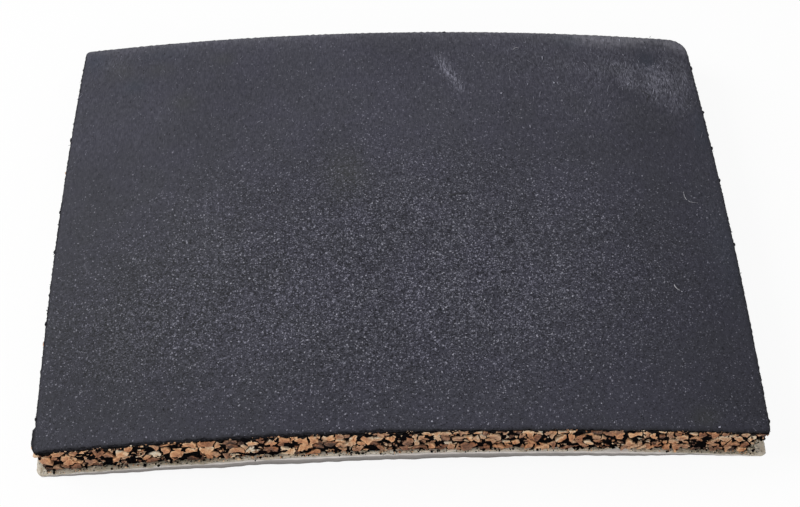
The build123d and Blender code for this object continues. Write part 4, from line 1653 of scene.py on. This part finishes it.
# %% Scuffs
LONG_SCUFFS = (  # ends and strength of the plainest strokes
    ((32.1, 40.7), (32.0, 39.3), 1.0), ((26.3, 42.3), (27.8, 42.6), 0.3),
    ((28.8, 39.5), (30.2, 38.3), 0.3), ((40.7, 39.4), (41.5, 38.2), 0.5),
    ((49.7, 40.1), (49.3, 37.4), 0.5), ((52.1, 39.7), (52.4, 37.6), 0.5),
    ((56.3, 38.8), (57.9, 40.8), 0.8), ((58.9, 41.3), (58.4, 39.8), 0.6),
    ((53.7, 34.2), (53.8, 33.5), 0.9), ((49.1, 33.4), (50.5, 35.0), 0.8),
    ((58.1, 32.2), (58.1, 30.2), 0.6), ((57.1, 32.6), (57.0, 31.5), 0.6),
    ((54.7, 32.8), (54.1, 30.3), 0.6), ((54.6, 29.9), (54.9, 28.3), 0.5),
    ((56.3, 28.2), (57.2, 27.3), 0.4), ((45.2, 33.0), (44.3, 30.0), 0.4),
    ((46.8, 39.3), (47.5, 36.8), 0.4), ((44.6, 27.6), (44.2, 26.7), 0.7),
    ((40.9, 28.2), (40.2, 26.8), 0.7), ((39.6, 26.0), (39.1, 24.8), 0.9),
    ((31.7, 33.6), (31.3, 32.3), 0.7), ((28.3, 32.8), (28.3, 32.1), 0.8),
    ((34.5, 33.4), (34.6, 32.7), 0.7), ((34.9, 28.5), (35.0, 27.8), 0.8),
    ((24.7, 34.6), (24.9, 32.2), 0.5), ((49.3, 46.8), (49.2, 45.6), 1.0),
    ((45.7, 46.3), (45.8, 45.5), 0.8), ((44.0, 41.5), (44.0, 40.6), 0.6),
    ((49.4, 42.3), (49.6, 41.6), 0.8), ((58.9, 45.0), (58.7, 43.5), 0.5),
    ((54.6, 44.7), (54.7, 44.0), 0.5), ((27.7, 21.4), (27.8, 20.3), 0.8),
    ((30.8, 30.7), (30.1, 28.2), 0.4),
)
DARK_SCRATCHES = (  # ends and radius in mm
    ((10.4, 3.25), (14.3, 4.05), 0.20), ((51.8, 32.0), (53.4, 30.9), 0.12),
    ((53.4, 30.9), (52.6, 28.8), 0.12),
)
SCUFFS = 1000
rng = np.random.default_rng(35)
weight = 0.04 * smooth((face_flat[..., 1] + 5) / 40) + np.clip(wear_and_light["haze"] - 0.25, 0, 1.2)
weight = weight.ravel()
pick = rng.choice(len(weight), SCUFFS, p=weight / weight.sum())
flat = face_flat.reshape(-1, 2)[pick] + rng.normal(0, 0.15, (SCUFFS, 2))
heading = rng.normal(math.radians(84), math.radians(22), SCUFFS)
length = rng.lognormal(math.log(0.6), 0.45, SCUFFS).clip(0.25, 1.9)
ends = np.stack([flat, flat + length[:, None] * np.stack([np.cos(heading), np.sin(heading)], 1)])
ends = ends[:, edge_distance(ends[1]) > 0.8]
placed_ends = np.array([scuff[:2] for scuff in LONG_SCUFFS + DARK_SCRATCHES]).transpose(1, 0, 2)
strength = np.array([scuff[2] for scuff in LONG_SCUFFS])
scratch_radius = np.array([scratch[2] for scratch in DARK_SCRATCHES])
long_starts, long_stops = placed_ends[:, : len(strength)]
placed_ends[1, : len(strength)] = 0.35 * long_starts + 0.65 * long_stops  # all a third shorter
ends = np.concatenate([placed_ends, ends], 1)
level = PAD_TOP + 0.02 + np.zeros(ends.shape[1])
starts, stops = (np.append(end, on_arch(end[:, 0], level)[:, None], 1) for end in ends)
radius = rng.uniform(0.030, 0.065, len(starts))
radius[: len(placed_ends[0])] = np.append(0.05 + 0.07 * strength, scratch_radius)
points, faces = thread_meshes(starts, stops - starts, 0 * starts, radius, steps=3, sides=3)
tone = rng.uniform(0.86, 0.98, len(starts))
tone[: len(placed_ends[0])] = np.append(0.90 + 0.08 * strength, 0 * scratch_radius)
tone = np.repeat(tone, len(points) // len(starts))
make_piece(
    "scuff_strokes", points, faces, finish=grain_finish, body="pad", slot="abrasive_grit",
    numbers={"tone": tone},
)

# %% [markdown]
# Resin that ran over the edge when the sheet was coated has set in lumps. The largest are listed,
# and small ones follow all round. They are crumbs again, stretched along the edge.

# %% Lumps on the edges
EDGE_LUMPS = (  # side (-1 left, 1 right, 0 back), place along it, half length
    (-1, 23.2, 0.7), (-1, 4.8, 0.5), (-1, -4.8, 0.5), (-1, -21.2, 0.6), (-1, -41.1, 0.5),
    (1, 39.7, 0.6), (1, 27.2, 0.5), (1, 17.5, 0.5), (1, 9.1, 0.5), (1, -6.8, 0.5),
    (1, -45.5, 0.45), (0, -45.8, 0.6), (0, 12.0, 0.4),
)
SMALL_LUMPS = 220
rng = np.random.default_rng(33)
side, spot, half = np.array(EDGE_LUMPS).T
edge_x = side * (HALF_WIDTH + SIDE_BOW * (1 - (spot / HALF_DEPTH) ** 2) + 0.06)
at_back = side == 0
edge_y = np.where(at_back, HALF_DEPTH - 0.02, spot)
flat = np.stack([np.where(at_back, spot, edge_x), edge_y], 1)
offset = rng.uniform(-0.06, 0.06, SMALL_LUMPS)
small, _ = along_loop(core_loop, core_out, SMALL_LUMPS, offset, rng, 0.3)
flat = np.concatenate([flat, small])
large = [np.where(at_back, half, 0.27), np.where(at_back, 0.27, half), 0.25 + 0 * half]
at_front = small[:, 1] < 0.4 - HALF_DEPTH
small_sizes = rng.uniform(0.05, 0.14, (SMALL_LUMPS, 3)) * np.where(at_front, 1.0, 0.55)[:, None]
sizes = np.concatenate([np.stack(large, 1), small_sizes])
level = np.append(np.full(len(side), 7.58), rng.uniform(7.2, 7.75, SMALL_LUMPS))
places = np.append(flat, on_arch(flat[:, 0], level)[:, None], 1)
points, faces = crumb_meshes(places, sizes, ICOSAHEDRON, 0.10, rng)
make_piece(
    "edge_lumps", points, faces, finish=cloth_finish, body="pad", slot="backing_cloth",
    rounded=False,
)

# %% [markdown]
# The cut cloth has frayed into short ends, a few hairs hang under the front ledge, and three bits
# of lint lie on the face. All are arched tubes, thinner towards their far ends.

# %% Threads, hairs and lint
FRAYS = 180  # frayed ends of yarn
STRAY_THREADS = (  # place, run, bow, radius in mm: hairs under the front ledge, one at the back
    ((-2.6, -48.2, 4.95), (0.9, -0.15, -1.05), (0.25, 0.0, 0.1), 0.045),
    ((-3.3, -48.2, 4.95), (-0.7, -0.10, -0.95), (0.0, 0.0, 0.25), 0.040),
    ((-1.9, -48.2, 4.95), (0.2, -0.12, -0.75), (0.15, 0.0, 0.0), 0.035),
    ((56.0, 47.4, 9.2), (0.25, 0.35, 0.25), (-0.1, 0.1, 0.0), 0.060),
)
LINT = (  # place on the face, run, bow, radius in mm
    ((56.5, 5.3), (2.5, -2.5), (-0.75, -0.85), 0.062),
    ((51.1, -17.2), (0.95, -1.25), (-0.18, -0.15), 0.085),
    ((26.2, 42.5), (1.2, 0.3), (0.0, 0.30), 0.060),
)
rng = np.random.default_rng(34)
flat, out = along_loop(core_loop, core_out, FRAYS, np.full(FRAYS, -0.08), rng, 0.4)
starts = np.append(flat, on_arch(flat[:, 0], rng.uniform(7.12, 7.5, FRAYS))[:, None], 1)
length = rng.uniform(0.18, 0.45, (FRAYS, 1))
tangent = np.stack([-out[:, 1], out[:, 0]], 1) * rng.normal(0, 0.22, (FRAYS, 1))
runs = np.append(out * length + tangent, rng.normal(-0.05, 0.10, (FRAYS, 1)), 1)
starts = np.concatenate([starts, [thread[0] for thread in STRAY_THREADS]])
runs = np.concatenate([runs, [thread[1] for thread in STRAY_THREADS]])
bows = np.concatenate([rng.normal(0, 0.05, (FRAYS, 3)), [thread[2] for thread in STRAY_THREADS]])
radius = np.append(rng.uniform(0.025, 0.045, FRAYS), [thread[3] for thread in STRAY_THREADS])
points, faces = thread_meshes(starts, runs, bows, radius, steps=4, sides=4)
make_piece("frayed_threads", points, faces, finish=cloth_finish, body="pad", slot="backing_cloth")

ends = np.array([(start, np.add(start, run)) for start, run, *_ in LINT])
ends = np.append(ends, on_arch(ends[..., 0], PAD_TOP + 0.10)[..., None], -1)
bows = np.array([(*bow, 0.03) for _, _, bow, _ in LINT])
radius = np.array([lint[3] for lint in LINT])
points, faces = thread_meshes(ends[:, 0], ends[:, 1] - ends[:, 0], bows, radius, steps=14)
make_piece("lint", points, faces, finish=lint_finish, body="pad", slot="backing_cloth")
